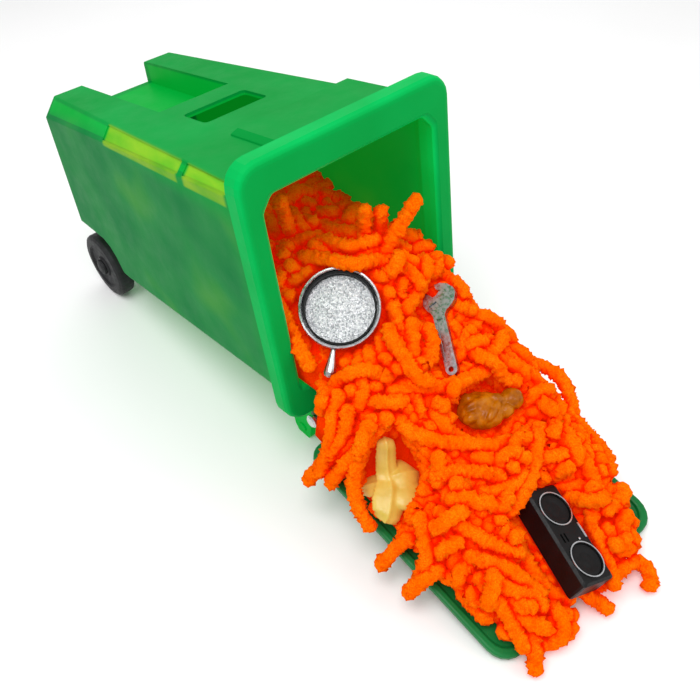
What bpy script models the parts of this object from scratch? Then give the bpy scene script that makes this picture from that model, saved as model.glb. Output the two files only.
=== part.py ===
"""Toy wheelie bin lying on its back, lid open, spilling chenille stems and five miniatures.

World frame: metres, +Z up, X from the bin's base towards the mouth and the lid, Y across.
Lengths below are millimetres; MM turns them into metres where a mesh is made.
Two slanted frames carry most of the shape:
  bin frame (x, y, z): origin at the middle of the rim's lower edge, x out of the mouth, z to the front panel
  lid frame (u, y, w): origin at the middle of the lid's hinge-side edge, u to the free edge, w out of its inside
"""

import math

import bmesh
import bpy
from mathutils import Matrix, Vector

MM = 0.001

# ---- placing ----
SHIFT_X = 32.8  # puts the middle of the whole object at X = 0
RIM_LOW_Z = 38.2  # height of the rim's lower edge
RIM_LEAN = math.radians(4.51)  # how far the mouth plane leans back
LID_EDGE_X, LID_EDGE_Z = 7.3, 28.87  # the lid's hinge-side edge
LID_SLOPE = math.radians(13.49)
HINGE_X, HINGE_Z = -1.0, 32.74  # the hinge rod, so that the closed lid stands 0.4 off the rim

# ---- bin body ----
BASE_X = -181.1  # the base at the front panel
BASE_SKEW = 0.114  # the base reaches this much further back per mm towards the back panel
BASE_HALF, MOUTH_HALF = 39.0, 44.05
BASE_BACK, MOUTH_BACK = -1.65, 12.0
BASE_FRONT, MOUTH_FRONT = 87.94, 101.7
BASE_CHAMFER = (7.06, 8.22)
MOUTH_CHAMFER = (3.6, 3.4)
SHOULDER_X = -9.3  # back of the rim flange
WALL = 2.1
RIM_MID = 1.5  # middle of the rim and the opening across the bin
RIM_HALF, RIM_HEIGHT, RIM_RADIUS = 47.7, 111.4, 9.0
OPEN_HALF, OPEN_LOW, OPEN_HIGH = 39.0, 14.6, 98.0

# ---- front panel ----
SCOOP_HALF, SCOOP_DEPTH, SCOOP_END = 17.5, 11.4, -102.0
SLOT_X, SLOT_Y = (-88.0, -70.0), (-14.5, 16.0)
PAD_X, PAD_Y, PAD_RISE = (-49.0, -7.0), (-17.0, 40.0), 2.6
WINDOWS_X = ((-114.0, -47.0), (-43.5, -12.5))
WINDOW_DEPTH = 0.6

# ---- wheels ----
WHEEL_R, WHEEL_INNER, WHEEL_OUTER = 18.0, 30.2, 39.6
AXLE_X, AXLE_Z = -178.8, 18.05  # world
AXLE_R, BORE_R = 1.5, 1.8
WELL_INNER = 28.6

# ---- handle and hinge ----
ARM_IN, ARM_OUT = 22.0, 27.0
GRIP_X, GRIP_Z, GRIP_R = -22.0, 5.0, 4.4
KNUCKLE_IN, KNUCKLE_OUT, KNUCKLE_R = 27.4, 33.4, 3.5

# ---- lid ----
LID_LENGTH, LID_HALF_HINGE, LID_HALF_FREE = 107.9, 46.0, 45.2
LID_THICK, LID_FLOOR = 4.2, -1.8

# ---- chenille stems ----
STEM_R = 2.9


# ------------------------------------------------------------------ frames
def world(x, y, z):
    return Vector(((x + SHIFT_X) * MM, y * MM, z * MM))


def in_bin(x, y, z):
    c, s = math.cos(RIM_LEAN), math.sin(RIM_LEAN)
    return world(x * c - z * s, y, RIM_LOW_Z + x * s + z * c)


def in_lid(u, y, w):
    c, s = math.cos(LID_SLOPE), math.sin(LID_SLOPE)
    return world(LID_EDGE_X + u * c + w * s, y, LID_EDGE_Z - u * s + w * c)


# ------------------------------------------------------------------ scene and materials
for old in list(bpy.data.objects):
    bpy.data.objects.remove(old, do_unlink=True)


def material(name, colour, roughness=0.5, metallic=0.0):
    made = bpy.data.materials.new(name)
    made.use_nodes = True
    shader = made.node_tree.nodes["Principled BSDF"]
    shader.inputs["Base Color"].default_value = (*colour, 1.0)
    shader.inputs["Roughness"].default_value = roughness
    shader.inputs["Metallic"].default_value = metallic
    return made


GREEN = material("green_plastic", (0.01, 0.36, 0.12), 0.35)
LID_GREEN = material("lid_plastic", (0.01, 0.22, 0.07), 0.4)
BLACK = material("black_plastic", (0.015, 0.017, 0.02), 0.45)
STEEL = material("steel", (0.55, 0.56, 0.57), 0.3, 1.0)
SILVER = material("silver_cast", (0.6, 0.61, 0.62), 0.28, 1.0)
GLITTER = material("glitter", (0.75, 0.76, 0.8), 0.4, 0.6)
ORANGE = material("orange_chenille", (1.0, 0.17, 0.0), 0.9)
YELLOW = material("banana_plastic", (0.75, 0.5, 0.22), 0.4)
BROWN = material("brown_gloss", (0.42, 0.14, 0.01), 0.2)


def empty(name, at):
    made = bpy.data.objects.new(name, None)
    made.location = at
    bpy.context.scene.collection.objects.link(made)
    return made


def add(name, points, faces, look, pivot, smooth=30.0):
    """An object under the empty `pivot`, from world points in metres."""
    mesh = bpy.data.meshes.new(name)
    mesh.from_pydata([Vector(p) - pivot.location for p in points], [], faces)
    shape = bmesh.new()
    shape.from_mesh(mesh)
    bmesh.ops.remove_doubles(shape, verts=shape.verts, dist=1e-7)
    bmesh.ops.recalc_face_normals(shape, faces=shape.faces)
    shape.to_mesh(mesh)
    shape.free()
    mesh.materials.append(look)
    mesh.shade_smooth()
    mesh.set_sharp_from_angle(angle=math.radians(smooth))
    made = bpy.data.objects.new(name, mesh)
    made.parent = pivot
    bpy.context.scene.collection.objects.link(made)
    return made


def cutter(name, points, faces, pivot):
    made = add(name, points, faces, GREEN, pivot)
    made.hide_render = True
    made.display_type = "WIRE"
    return made


def boolean(target, other, operation):
    step = target.modifiers.new(f"{operation.lower()}_{other.name}", "BOOLEAN")
    step.operation = operation
    step.solver = "EXACT"
    step.object = other


# ------------------------------------------------------------------ shape helpers
def rounded(corners, steps=3):
    """A closed outline through corners (a, b, radius), each replaced by an arc."""
    outline = []
    count = len(corners)
    for i, (a, b, radius) in enumerate(corners):
        here = Vector((a, b))
        before = Vector(corners[i - 1][:2]) - here
        after = Vector(corners[(i + 1) % count][:2]) - here
        half = before.angle(after) / 2
        reach = radius / math.tan(half)
        middle = here + (before.normalized() + after.normalized()).normalized() * (radius / math.sin(half))
        start = here + before.normalized() * reach - middle
        end = here + after.normalized() * reach - middle
        turn = start.angle_signed(end)
        for k in range(steps + 1):
            outline.append(tuple(middle + Matrix.Rotation(-turn * k / steps, 2) @ start))
    return outline


def loft(rings):
    """Points and faces of a closed solid through rings of the same number of points."""
    size = len(rings[0])
    points = [p for ring in rings for p in ring]
    faces = [tuple(range(size))[::-1], tuple(range(len(points) - size, len(points)))]
    for r in range(len(rings) - 1):
        for i in range(size):
            j = (i + 1) % size
            faces.append((r * size + i, r * size + j, (r + 1) * size + j, (r + 1) * size + i))
    return points, faces


def prism(outline, place, low, high):
    """An outline in (x, z), run along y from low to high, through the frame function `place`."""
    return loft([[place(x, y, z) for x, z in outline] for y in (low, high)])


def turned(profile, centre, axis, segments=32):
    """A solid turned about `axis` through `centre` (metres), from (radius, height) pairs in mm."""
    axis = Vector(axis).normalized()
    side = axis.orthogonal().normalized()
    other = axis.cross(side)
    rings = []
    for radius, height in profile:
        ring = []
        for k in range(segments):
            angle = 2 * math.pi * k / segments
            out = side * math.cos(angle) + other * math.sin(angle)
            ring.append(Vector(centre) + (out * radius + axis * height) * MM)
        rings.append(ring)
    return rings


def ring_solid(profile, centre, axis, segments=32):
    """A turned ring whose closed profile doesn't touch the axis."""
    rings = turned(profile, centre, axis, segments)
    count = len(rings)
    points = [p for ring in rings for p in ring]
    faces = []
    for r in range(count):
        q = (r + 1) % count
        for i in range(segments):
            j = (i + 1) % segments
            faces.append((r * segments + i, r * segments + j, q * segments + j, q * segments + i))
    return points, faces


def blob(centre, along, across, up, steps=(16, 10)):
    """An ellipsoid with half-axis vectors along, across and up, all in metres."""
    rings = []
    for k in range(steps[1] + 1):
        polar = math.pi * max(0.02, min(0.98, k / steps[1]))
        rings.append(
            [
                centre
                + up * math.cos(polar)
                + (along * math.cos(t) + across * math.sin(t)) * math.sin(polar)
                for t in (2 * math.pi * i / steps[0] for i in range(steps[0]))
            ]
        )
    return loft(rings)


def smooth_route(route, spacing):
    """Points every `spacing` along a Catmull-Rom curve through the route's own points."""
    ends = [2 * route[0] - route[1], *route, 2 * route[-1] - route[-2]]
    fine = []
    for i in range(1, len(ends) - 2):
        p0, p1, p2, p3 = ends[i - 1 : i + 3]
        for k in range(20):
            t = k / 20
            fine.append(
                0.5
                * (
                    2 * p1
                    + (p2 - p0) * t
                    + (2 * p0 - 5 * p1 + 4 * p2 - p3) * t**2
                    + (3 * p1 - p0 - 3 * p2 + p3) * t**3
                )
            )
    fine.append(route[-1])
    total = sum((b - a).length for a, b in zip(fine, fine[1:]))
    count = max(2, round(total / spacing))
    wanted, found, run = [total * k / count for k in range(1, count)], [fine[0]], 0.0
    for a, b in zip(fine, fine[1:]):
        step = (b - a).length
        while wanted and run + step >= wanted[0]:
            found.append(a.lerp(b, (wanted[0] - run) / step))
            wanted.pop(0)
        run += step
    return [*found, fine[-1]]


def stem(name, route, pivot):
    """A chenille stem's plain tube, from (u, y, w) points in the lid frame."""
    path = smooth_route([in_lid(*p) for p in route], 2.4 * STEM_R * MM)
    curve = bpy.data.curves.new(name, "CURVE")
    curve.dimensions = "3D"
    curve.bevel_depth = STEM_R * MM
    curve.bevel_resolution = 2
    curve.use_fill_caps = True
    line = curve.splines.new("POLY")
    line.points.add(len(path) - 1)
    for point, at in zip(line.points, path):
        point.co = (*(at - pivot.location), 1.0)
    curve.materials.append(ORANGE)
    made = bpy.data.objects.new(name, curve)
    made.parent = pivot
    bpy.context.scene.collection.objects.link(made)
    return made


# ------------------------------------------------------------------ pivots
bin_root = empty("bin_root", world(0, 0, 0))
lid_pivot = empty("lid_pivot", world(HINGE_X, 0, HINGE_Z))
wheel_pivot = {side: empty(f"wheel_pivot_{side}", world(AXLE_X, sign * (WHEEL_INNER + WHEEL_OUTER) / 2, AXLE_Z))
               for side, sign in (("left", -1), ("right", 1))}


# ------------------------------------------------------------------ bin body
def along(x):
    """0 at the base, 1 at the shoulder."""
    return (x - BASE_X) / (SHOULDER_X - BASE_X)


def mix(a, b, t):
    return a + (b - a) * t


def base_plane(z):
    return BASE_X - BASE_SKEW * (BASE_FRONT - z)


def front(x):
    return mix(BASE_FRONT, MOUTH_FRONT, along(x))


def body_ring(t, inset, reach=0.0):
    """The body's outline at fraction t of its length, pulled in by inset and moved by reach along x."""
    half = mix(BASE_HALF, MOUTH_HALF, t) - inset
    back = mix(BASE_BACK, MOUTH_BACK, t) + inset
    top = mix(BASE_FRONT, MOUTH_FRONT, t) - inset
    wide = mix(BASE_CHAMFER[0], MOUTH_CHAMFER[0], t)
    tall = mix(BASE_CHAMFER[1], MOUTH_CHAMFER[1], t)
    outline = rounded(
        [
            (-half, back, 4.0),
            (half, back, 4.0),
            (half, top - tall, 1.0),
            (half - wide, top, 1.0),
            (-half + wide, top, 1.0),
            (-half, top - tall, 1.0),
        ],
        2,
    )
    return [in_bin(mix(base_plane(z), SHOULDER_X, t) + reach, y, z) for y, z in outline]


def box_ring(x, half, low, high, radius):
    outline = rounded([(-half, low, radius), (half, low, radius), (half, high, radius), (-half, high, radius)], 5)
    return [in_bin(x, RIM_MID + y, z) for y, z in outline]


def mouth_ring(x, half, low, high):
    """The opening's outline, with as many points as body_ring."""
    outline = rounded(
        [
            (-half, low, 4.0),
            (half, low, 4.0),
            (half, high - 5.5, 3.0),
            (half - 4.5, high, 3.0),
            (-half + 4.5, high, 3.0),
            (-half, high - 5.5, 3.0),
        ],
        2,
    )
    return [in_bin(x, RIM_MID + y, z) for y, z in outline]


def make_body():
    rounding = ((0.0, 1.6), (0.003, 0.5), (0.009, 0.0))
    shell = [body_ring(t, inset) for t, inset in rounding]
    shell += [body_ring(t, 0.0) for t in (0.35, 0.7, 1.0)]
    shell.append(body_ring(1.0, 0.0, 3.0))
    body = add("bin_body", *loft(shell), GREEN, bin_root)

    rim = [(SHOULDER_X, 2.2), (-8.8, 0.8), (-7.7, 0.0), (-2.3, 0.0), (-0.9, 0.6), (-0.2, 1.6), (0.0, 2.8)]
    flange = cutter(
        "rim_flange",
        *loft([box_ring(x, RIM_HALF - i, i, RIM_HEIGHT - i, RIM_RADIUS - i) for x, i in rim]),
        bin_root,
    )
    boolean(body, flange, "UNION")
    pad = [(PAD_X[0] + i, PAD_X[1], PAD_Y[0] + i, PAD_Y[1] - i / 4, d) for i, d in ((0, -1.2), (0.4, 0.6), (2.6, PAD_RISE))]
    boolean(body, cutter("front_pad", *loft([
        [in_bin(x, y, front(x) + d) for x, y in ((x0, y0), (x1, y0), (x1, y1), (x0, y1))]
        for x0, x1, y0, y1, d in pad]), bin_root), "UNION")
    for sign, side in ((-1, "left"), (1, "right")):
        arm = cutter(f"arm_{side}", *prism(arm_outline(), world, *sorted((sign * ARM_IN, sign * ARM_OUT))), bin_root)
        boolean(body, arm, "UNION")
        lug = cutter(f"lug_{side}", *prism(lug_outline(), world, *sorted((sign * 20.0, sign * 26.0))), bin_root)
        boolean(body, lug, "UNION")

    hollow = [body_ring(0.013, WALL), body_ring(0.03, WALL - 0.0)]
    hollow += [body_ring(t, WALL) for t in (0.35, 0.7, 0.985)]
    hollow.append(mouth_ring(-5.0, OPEN_HALF + 0.3, OPEN_LOW, OPEN_HIGH + 0.2))
    hollow.append(mouth_ring(-1.6, OPEN_HALF, OPEN_LOW - 0.1, OPEN_HIGH))
    hollow.append(mouth_ring(0.6, OPEN_HALF + 2.2, OPEN_LOW - 2.2, OPEN_HIGH + 2.2))
    cavity = cutter("cavity", *loft(hollow), bin_root)
    boolean(cavity, cutter("scoop_wall", *prism(scoop_outline(WALL), in_bin, -SCOOP_HALF - WALL, SCOOP_HALF + WALL), bin_root), "DIFFERENCE")
    for sign, side in ((-1, "left"), (1, "right")):
        span = sorted((sign * (WELL_INNER - WALL), sign * 60.0))
        boolean(cavity, cutter(f"well_wall_{side}", *prism(well_outline(WALL), in_bin, *span), bin_root), "DIFFERENCE")
    boolean(body, cavity, "DIFFERENCE")

    boolean(body, cutter("scoop", *prism(scoop_outline(0.0), in_bin, -SCOOP_HALF, SCOOP_HALF), bin_root), "DIFFERENCE")
    slot = [(SLOT_X[0], SLOT_Y[0], 2.0), (SLOT_X[1], SLOT_Y[0], 2.0), (SLOT_X[1], SLOT_Y[1], 2.0), (SLOT_X[0], SLOT_Y[1], 2.0)]
    boolean(body, cutter("slot", *loft([[in_bin(x, y, z) for x, y in rounded(slot)] for z in (84.0, 106.0)]), bin_root), "DIFFERENCE")
    for sign, side in ((-1, "left"), (1, "right")):
        for i, span in enumerate(WINDOWS_X):
            boolean(body, cutter(f"window_{side}_{i}", *window(sign, *span), bin_root), "DIFFERENCE")
        well = prism(well_outline(0.0), in_bin, *sorted((sign * WELL_INNER, sign * 60.0)))
        boolean(body, cutter(f"well_{side}", *well, bin_root), "DIFFERENCE")
    for name, x, z, radius in (("axle", AXLE_X, AXLE_Z, BORE_R), ("hinge", HINGE_X, HINGE_Z, BORE_R), ("grip", GRIP_X, GRIP_Z, 2.5)):
        bore = loft(turned([(radius, -40), (radius, 40)], world(x, 0, z), (0, 1, 0), 20))
        boolean(body, cutter(f"{name}_bore", *bore, bin_root), "DIFFERENCE")
    return body


def arm_outline():
    """The handle arm in world (x, z): off the back panel, down to a flat foot, with an ear round the hinge rod."""
    ear = [(HINGE_X + 3.7 * math.sin(a), HINGE_Z + 3.7 * math.cos(a)) for a in (math.radians(d) for d in range(0, 211, 30))]
    return [(-8.0, 40.5), (-3.2, 39.0), *ear, (-9.0, 27.0), (-15.5, 12.0), (-17.0, 3.0), (-18.5, 0.0), (-25.5, 0.0),
            (-27.5, 3.0), (-28.5, 12.0), (-31.5, 48.5), (-12.0, 51.5)]


def lug_outline():
    """The axle lug in world (x, z): a round boss under the back panel."""
    boss = [(AXLE_X + 4.6 * math.sin(a), AXLE_Z + 4.6 * math.cos(a)) for a in (math.radians(d) for d in range(75, 286, 30))]
    return [(AXLE_X + 6.5, 26.2), *boss, (AXLE_X - 6.5, 24.6)]


def scoop_outline(outset):
    """The scoop's section in bin (x, z): a flat floor from the base that curves up to the front panel."""
    floor = [(BASE_X - 12.0, front(BASE_X) - SCOOP_DEPTH - outset)]
    start = -136.0
    for k in range(6):
        t = k / 5
        x = mix(start, SCOOP_END, t) + outset * t
        floor.append((x, front(x) - SCOOP_DEPTH * (1 - t**1.7) - outset * (1 - t)))
    return [*floor, (SCOOP_END + outset + 2.0, 112.0), (BASE_X - 12.0, 112.0)]


def well_outline(outset):
    """The wheel well's section in bin (x, z), open to the base and the back."""
    top = 20.4 + outset
    arch = [(-160.0 + outset, top), (-154.0 + outset, top - 2.4), (-150.0 + outset, top - 7.0), (-147.4 + outset, top - 13.0),
            (-142.0 + outset, top - 21.0), (-138.0 + outset, -30.0)]
    return [(-215.0, top), *arch, (-215.0, -30.0)]


def window(sign, x0, x1):
    """A shallow groove along the chamfer between the side wall and the front panel."""
    rings = []
    for x in (x0, x1):
        t = along(x)
        half = mix(BASE_HALF, MOUTH_HALF, t)
        low = Vector((half, mix(BASE_FRONT, MOUTH_FRONT, t) - mix(BASE_CHAMFER[1], MOUTH_CHAMFER[1], t)))
        high = Vector((half - mix(BASE_CHAMFER[0], MOUTH_CHAMFER[0], t), mix(BASE_FRONT, MOUTH_FRONT, t)))
        slope = (high - low).normalized()
        out = Vector((slope.y, -slope.x))
        edge = 0.12 * (high - low).length
        corners = [low + slope * edge - out * WINDOW_DEPTH, high - slope * edge - out * WINDOW_DEPTH,
                   high - slope * edge + out * 2.0, low + slope * edge + out * 2.0]
        rings.append([in_bin(x, sign * c.x, c.y) for c in corners])
    return loft(rings)


# ------------------------------------------------------------------ rods, grip, wheels
def rod(name, x, z, radius, low, high, look, pivot, chamfer=0.4, segments=20):
    profile = [(radius - chamfer, low), (radius, low + chamfer), (radius, high - chamfer), (radius - chamfer, high)]
    return add(name, *loft(turned(profile, world(x, 0, z), (0, 1, 0), segments)), look, pivot)


def make_rods():
    rod("hinge_rod", HINGE_X, HINGE_Z, 1.5, -34.3, 34.3, STEEL, bin_root, 0.3)
    rod("handle_rod", GRIP_X, GRIP_Z, 2.2, -27.6, 27.6, GREEN, bin_root, 0.3)
    rod("axle", AXLE_X, AXLE_Z, AXLE_R, -39.4, 39.4, STEEL, bin_root, 0.3)
    grip = [(2.5, -21.7), (GRIP_R - 0.6, -21.7), (GRIP_R, -21.0)]
    for k in range(-2, 3):
        grip += [(GRIP_R, k * 7.0 - 1.6), (GRIP_R - 0.6, k * 7.0 - 0.9), (GRIP_R - 0.6, k * 7.0 + 0.9), (GRIP_R, k * 7.0 + 1.6)]
    grip += [(GRIP_R, 21.0), (GRIP_R - 0.6, 21.7), (2.5, 21.7)]
    add("handle_grip", *ring_solid(grip, world(GRIP_X, 0, GRIP_Z), (0, 1, 0), 20), BLACK, bin_root)
    for sign, side in ((-1, "left"), (1, "right")):
        cap = [(2.9, 34.7), (2.9, 35.9), (2.2, 36.6), (0.4, 36.7)]
        add(f"hinge_cap_{side}", *loft(turned(cap, world(HINGE_X, 0, HINGE_Z), (0, sign, 0), 20)), STEEL, bin_root)
        washer = [(BORE_R, 26.4), (3.8, 26.4), (3.8, 29.8), (BORE_R, 29.8)]
        add(f"axle_washer_{side}", *ring_solid(washer, world(AXLE_X, 0, AXLE_Z), (0, sign, 0), 20), STEEL, bin_root)


def make_wheel(side, sign):
    low, high, r = WHEEL_INNER, WHEEL_OUTER, WHEEL_R
    profile = [
        (BORE_R, low), (5.0, low), (5.0, low + 0.9), (11.5, low + 0.9), (12.3, low + 0.2), (r - 1.6, low + 0.2), (r - 0.4, low + 0.9),
        (r, low + 2.2), (r, high - 2.4), (r - 0.5, high - 1.1), (r - 1.9, high - 0.3), (12.6, high), (11.7, high - 1.1),
        (5.9, high - 1.5), (5.3, high - 0.5), (BORE_R, high - 0.5),
    ]
    pivot = wheel_pivot[side]
    centre = world(AXLE_X, 0, AXLE_Z)
    add(f"wheel_{side}", *ring_solid(profile, centre, (0, sign, 0), 40), BLACK, pivot)
    cap = [(4.4, high - 0.1), (4.2, high + 0.8), (2.6, high + 1.5), (0.3, high + 1.7)]
    add(f"hub_cap_{side}", *loft(turned(cap, centre, (0, sign, 0), 24)), BLACK, pivot)


# ------------------------------------------------------------------ lid
def lid_ring(w, inset):
    a, b = LID_HALF_HINGE - inset, LID_HALF_FREE - inset
    corners = [(inset, -a, 7.0 - inset / 2), (LID_LENGTH - inset, -b, 9.0 - inset / 2),
               (LID_LENGTH - inset, b, 9.0 - inset / 2), (inset, a, 7.0 - inset / 2)]
    return [in_lid(u, y, w) for u, y in rounded(corners, 5)]


def make_lid():
    steps = [(-LID_THICK, 2.0), (1.0 - LID_THICK, 0.5), (1.9 - LID_THICK, 0.0), (-0.7, 0.0), (-0.15, 0.3), (0.0, 0.9),
             (0.0, 2.3), (-0.3, 2.8), (LID_FLOOR + 0.4, 3.2), (LID_FLOOR, 3.8)]
    lid = add("lid", *loft([lid_ring(w, inset) for w, inset in steps]), LID_GREEN, lid_pivot)
    c, s = math.cos(LID_SLOPE), math.sin(LID_SLOPE)
    dx, dz = HINGE_X - LID_EDGE_X, HINGE_Z - LID_EDGE_Z
    hu, hw = dx * c - dz * s, dx * s + dz * c
    arc = [(hu + KNUCKLE_R * math.cos(a), hw + KNUCKLE_R * math.sin(a)) for a in (math.radians(d) for d in range(30, 241, 30))]
    knuckle = [(-4.4, -0.15), *arc, (-4.0, -2.6), (5.0, -LID_THICK + 0.4), (5.0, -0.15 + LID_FLOOR)]
    knuckle = [*knuckle, (1.0, -0.15)]
    for sign, side in ((-1, "left"), (1, "right")):
        span = sorted((sign * KNUCKLE_IN, sign * KNUCKLE_OUT))
        boolean(lid, cutter(f"knuckle_{side}", *prism(knuckle, in_lid, *span), lid_pivot), "UNION")
    bore = loft(turned([(BORE_R, -40), (BORE_R, 40)], world(HINGE_X, 0, HINGE_Z), (0, 1, 0), 20))
    boolean(lid, cutter("lid_bore", *bore, lid_pivot), "DIFFERENCE")
    return lid



# ------------------------------------------------------------------ chenille stems
BED_HALF, BED_END = 42.0, 104.0
PILE = ((-3.0, 36.0), (20.0, 29.0), (35.0, 22.0), (50.0, 18.0), (70.0, 13.0), (90.0, 9.0), (104.0, 4.0))
# hollows under the miniatures, in the lid frame: (u, y, radius, height of the hollow's floor)
HOLLOWS = (
    (84.0, 4.0, 15.0, 3.6), (100.0, -2.0, 15.0, 3.0), (38.0, 9.0, 12.0, 16.0), (42.0, 22.0, 7.0, 15.0),
    (30.0, -40.0, 9.0, 3.5), (34.0, -33.0, 9.0, 6.5), (44.0, -41.0, 9.0, 6.0), (36.0, -25.0, 7.0, 6.5),
    (-3.0, -26.0, 12.0, 24.0), (-3.0, -12.0, 10.0, 30.0),
)  # fmt: skip
# stems that hang over the lid's edges, in the lid frame
LOOSE_STEMS = {
    "stem_hinge_side": ((13.0, -44.0, 3.8), (11.4, -47.8, 3.5), (9.6, -51.2, -0.4), (8.8, -52.8, -5.0)),
    "stem_left_a": ((52.9, -43.2, 3.7), (52.7, -47.6, 3.4), (52.5, -51.2, -0.5), (52.5, -53.0, -5.0)),
    "stem_left_b": ((68.4, -43.2, 3.7), (67.8, -47.6, 3.5), (67.2, -51.2, 0.0), (66.8, -53.4, -4.4)),
    "stem_left_tip": ((106.2, -32.0, 3.7), (109.4, -34.2, 3.4), (112.1, -36.2, 2.6), (116.0, -40.2, 1.6)),
    "stem_end_tip": ((105.2, -6.0, 3.5), (109.5, -4.8, 3.4), (114.0, -3.0, 2.9), (120.0, -1.6, 3.0)),
    "stem_end_curl": ((106.0, 9.6, 4.6), (109.4, 11.4, 4.6), (112.1, 15.0, 4.4), (114.6, 21.0, 4.0),
                      (120.1, 20.4, 4.3), (124.0, 14.6, 4.2)),
    "stem_right_loop": ((25.6, 45.6, 6.0), (32.0, 48.2, 9.0), (43.0, 50.4, 9.5), (53.0, 49.2, 7.0), (59.4, 45.6, 4.6)),
}  # fmt: skip


def pile_height(u, y):
    """Height of the bed of stems over the lid."""
    for (u0, h0), (u1, h1) in zip(PILE, PILE[1:]):
        if u <= u1:
            break
    top = mix(h0, h1, (u - u0) / (u1 - u0)) * (1 - 0.7 * abs(y / BED_HALF) ** 4)
    for hu, hy, reach, floor in HOLLOWS:
        top = min(top, floor + max(0.0, math.hypot(u - hu, y - hy) - reach) * 1.4)
    return max(top, 1.6)


def make_lid_bed():
    across = [BED_HALF * k / 9 for k in range(-9, 10)]
    rings = []
    for u in [-3.0, 2.0, *(8.0 + 6.0 * k for k in range(16)), BED_END]:
        trim = max(0.0, u - 98.0, 4.0 - u) * 0.5
        ys = [max(-BED_HALF + trim, min(BED_HALF - trim, y)) for y in across]
        floor = 0.5 if u > 4.0 else 4.6
        rings.append([in_lid(u, y, floor) for y in ys] + [in_lid(u, y, max(floor + 1.0, pile_height(u, y))) for y in ys[::-1]])
    add("stems_on_lid", *loft(rings), ORANGE, lid_pivot, 180)


def bin_bed_ring(x, top, across):
    t = max(0.0, min(1.0, along(x)))
    half = mix(BASE_HALF, MOUTH_HALF, t) - WALL - 1.0
    low = mix(BASE_BACK, MOUTH_BACK, t) + WALL + 0.9
    if x < -134.0:
        low = 24.4
    if x > -11.5:
        half, low = OPEN_HALF - RIM_MID - 1.0, OPEN_LOW + 0.9
    ys = [half * k for k in across]
    tops = [min(top, 24.0 if -38.0 < y < -2.0 and x > -6.0 else 99.0) - 3.0 * abs(y / half) ** 4 for y in ys]
    return [in_bin(x, y, low + 2.5 * abs(y / half) ** 12) for y in ys] + [in_bin(x, y, z) for y, z in list(zip(ys, tops))[::-1]]


def make_bin_bed():
    across = [k / 9 for k in range(-9, 10)]
    levels = ((-172.0, 56.0), (-150.0, 62.0), (-134.5, 62.0), (-133.0, 61.5), (-110.0, 58.0), (-90.0, 55.0),
              (-70.0, 50.0), (-45.0, 40.0), (-28.0, 36.0), (-12.4, 36.0), (-11.0, 36.0), (-4.0, 35.0), (0.6, 33.0))
    rings = [bin_bed_ring(x, top, across) for x, top in levels]
    ys = [36.0 * k for k in across]
    rings.append([in_lid(-3.8, y, 20.0) for y in ys] + [in_lid(-3.8, y, max(22.0, pile_height(-3.0, y) - 2.0)) for y in ys[::-1]])
    add("stems_in_bin", *loft(rings), ORANGE, bin_root, 180)


# ------------------------------------------------------------------ miniatures
def frame(origin, first, normal):
    """A frame function (a, b, h) -> world, with a along `first`, h along `normal` and b across them."""
    up = Vector(normal).normalized()
    a = Vector(first)
    a = (a - up * a.dot(up)).normalized()
    b = up.cross(a)
    at = world(*origin)
    return lambda p, q, h: at + (a * p + b * q + up * h) * MM


MAGNIFIER_AT, MAGNIFIER_FACE, MAGNIFIER_GRIP = (-2.3, -15.0, 79.9), (0.5, -0.42, 0.76), (0.43, -0.64, -0.64)
MAGNIFIER_R = 15.8
WRENCH_AT, WRENCH_RUN, WRENCH_FACE = (15.8, 21.8, 71.7), (0.71, -0.53, -0.47), (0.09, -0.6, 0.8)
WRENCH_THICK = 2.8
LUMP_AT, LUMP_RUN, LUMP_FACE = (50.7, 9.1, 45.9), (0.56, 0.82, -0.1), (0.25, -0.1, 0.96)
RADIO_AT, RADIO_RUN, RADIO_FACE = (100.4, 0.3, 26.1), (0.93, -0.29, -0.226), (0.31, 0.29, 0.906)
RADIO_HALF, RADIO_DEPTH = (19.5, 7.8), 11.0
SPEAKER_A = (-9.8, 10.8)
SPEAKER_R, SPEAKER_B = 6.9, 0.3

magnifier_pivot = empty("magnifier_pivot", world(*MAGNIFIER_AT))
wrench_pivot = empty("wrench_pivot", world(*WRENCH_AT))
lump_pivot = empty("lump_pivot", world(*LUMP_AT))
peel_pivot = empty("peel_pivot", in_lid(33.5, -34.0, 12.5))
radio_pivot = empty("radio_pivot", world(*RADIO_AT))


def make_magnifier():
    centre, face = world(*MAGNIFIER_AT), Vector(MAGNIFIER_FACE).normalized()
    r = MAGNIFIER_R
    pan = [(0.5, -4.2), (r - 2.6, -4.2), (r - 0.7, -3.4), (r, -2.2), (r, 1.8), (r - 0.3, 2.5), (r - 0.9, 2.6),
           (r - 1.3, 2.1), (r - 1.4, -3.0), (0.5, -3.0)]
    pan = add("magnifier_frame", *loft(turned(pan, centre, face, 32)), SILVER, magnifier_pivot)
    place = frame(MAGNIFIER_AT, MAGNIFIER_GRIP, MAGNIFIER_FACE)
    drop = ((r - 0.8, 1.0), (r + 1.0, 1.1), (r + 3.5, 1.5), (r + 6.5, 2.1), (r + 8.8, 2.4), (r + 10.1, 2.0), (r + 10.7, 1.0))
    rings = [[place(a, w * math.cos(t), -0.6 + 0.85 * w * math.sin(t)) for t in (2 * math.pi * k / 14 for k in range(14))]
             for a, w in drop]
    boolean(pan, cutter("magnifier_grip", *loft(rings), magnifier_pivot), "UNION")
    liner = [(r - 2.5, -2.4), (r - 1.7, -2.4), (r - 1.7, 1.7), (r - 2.5, 1.4)]
    add("magnifier_liner", *ring_solid(liner, centre, face, 32), BLACK, magnifier_pivot)
    disc = [(0.5, -2.7), (r - 2.9, -2.7), (r - 2.9, -2.3), (0.5, -2.2)]
    add("magnifier_disc", *loft(turned(disc, centre, face, 32)), GLITTER, magnifier_pivot)


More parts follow.
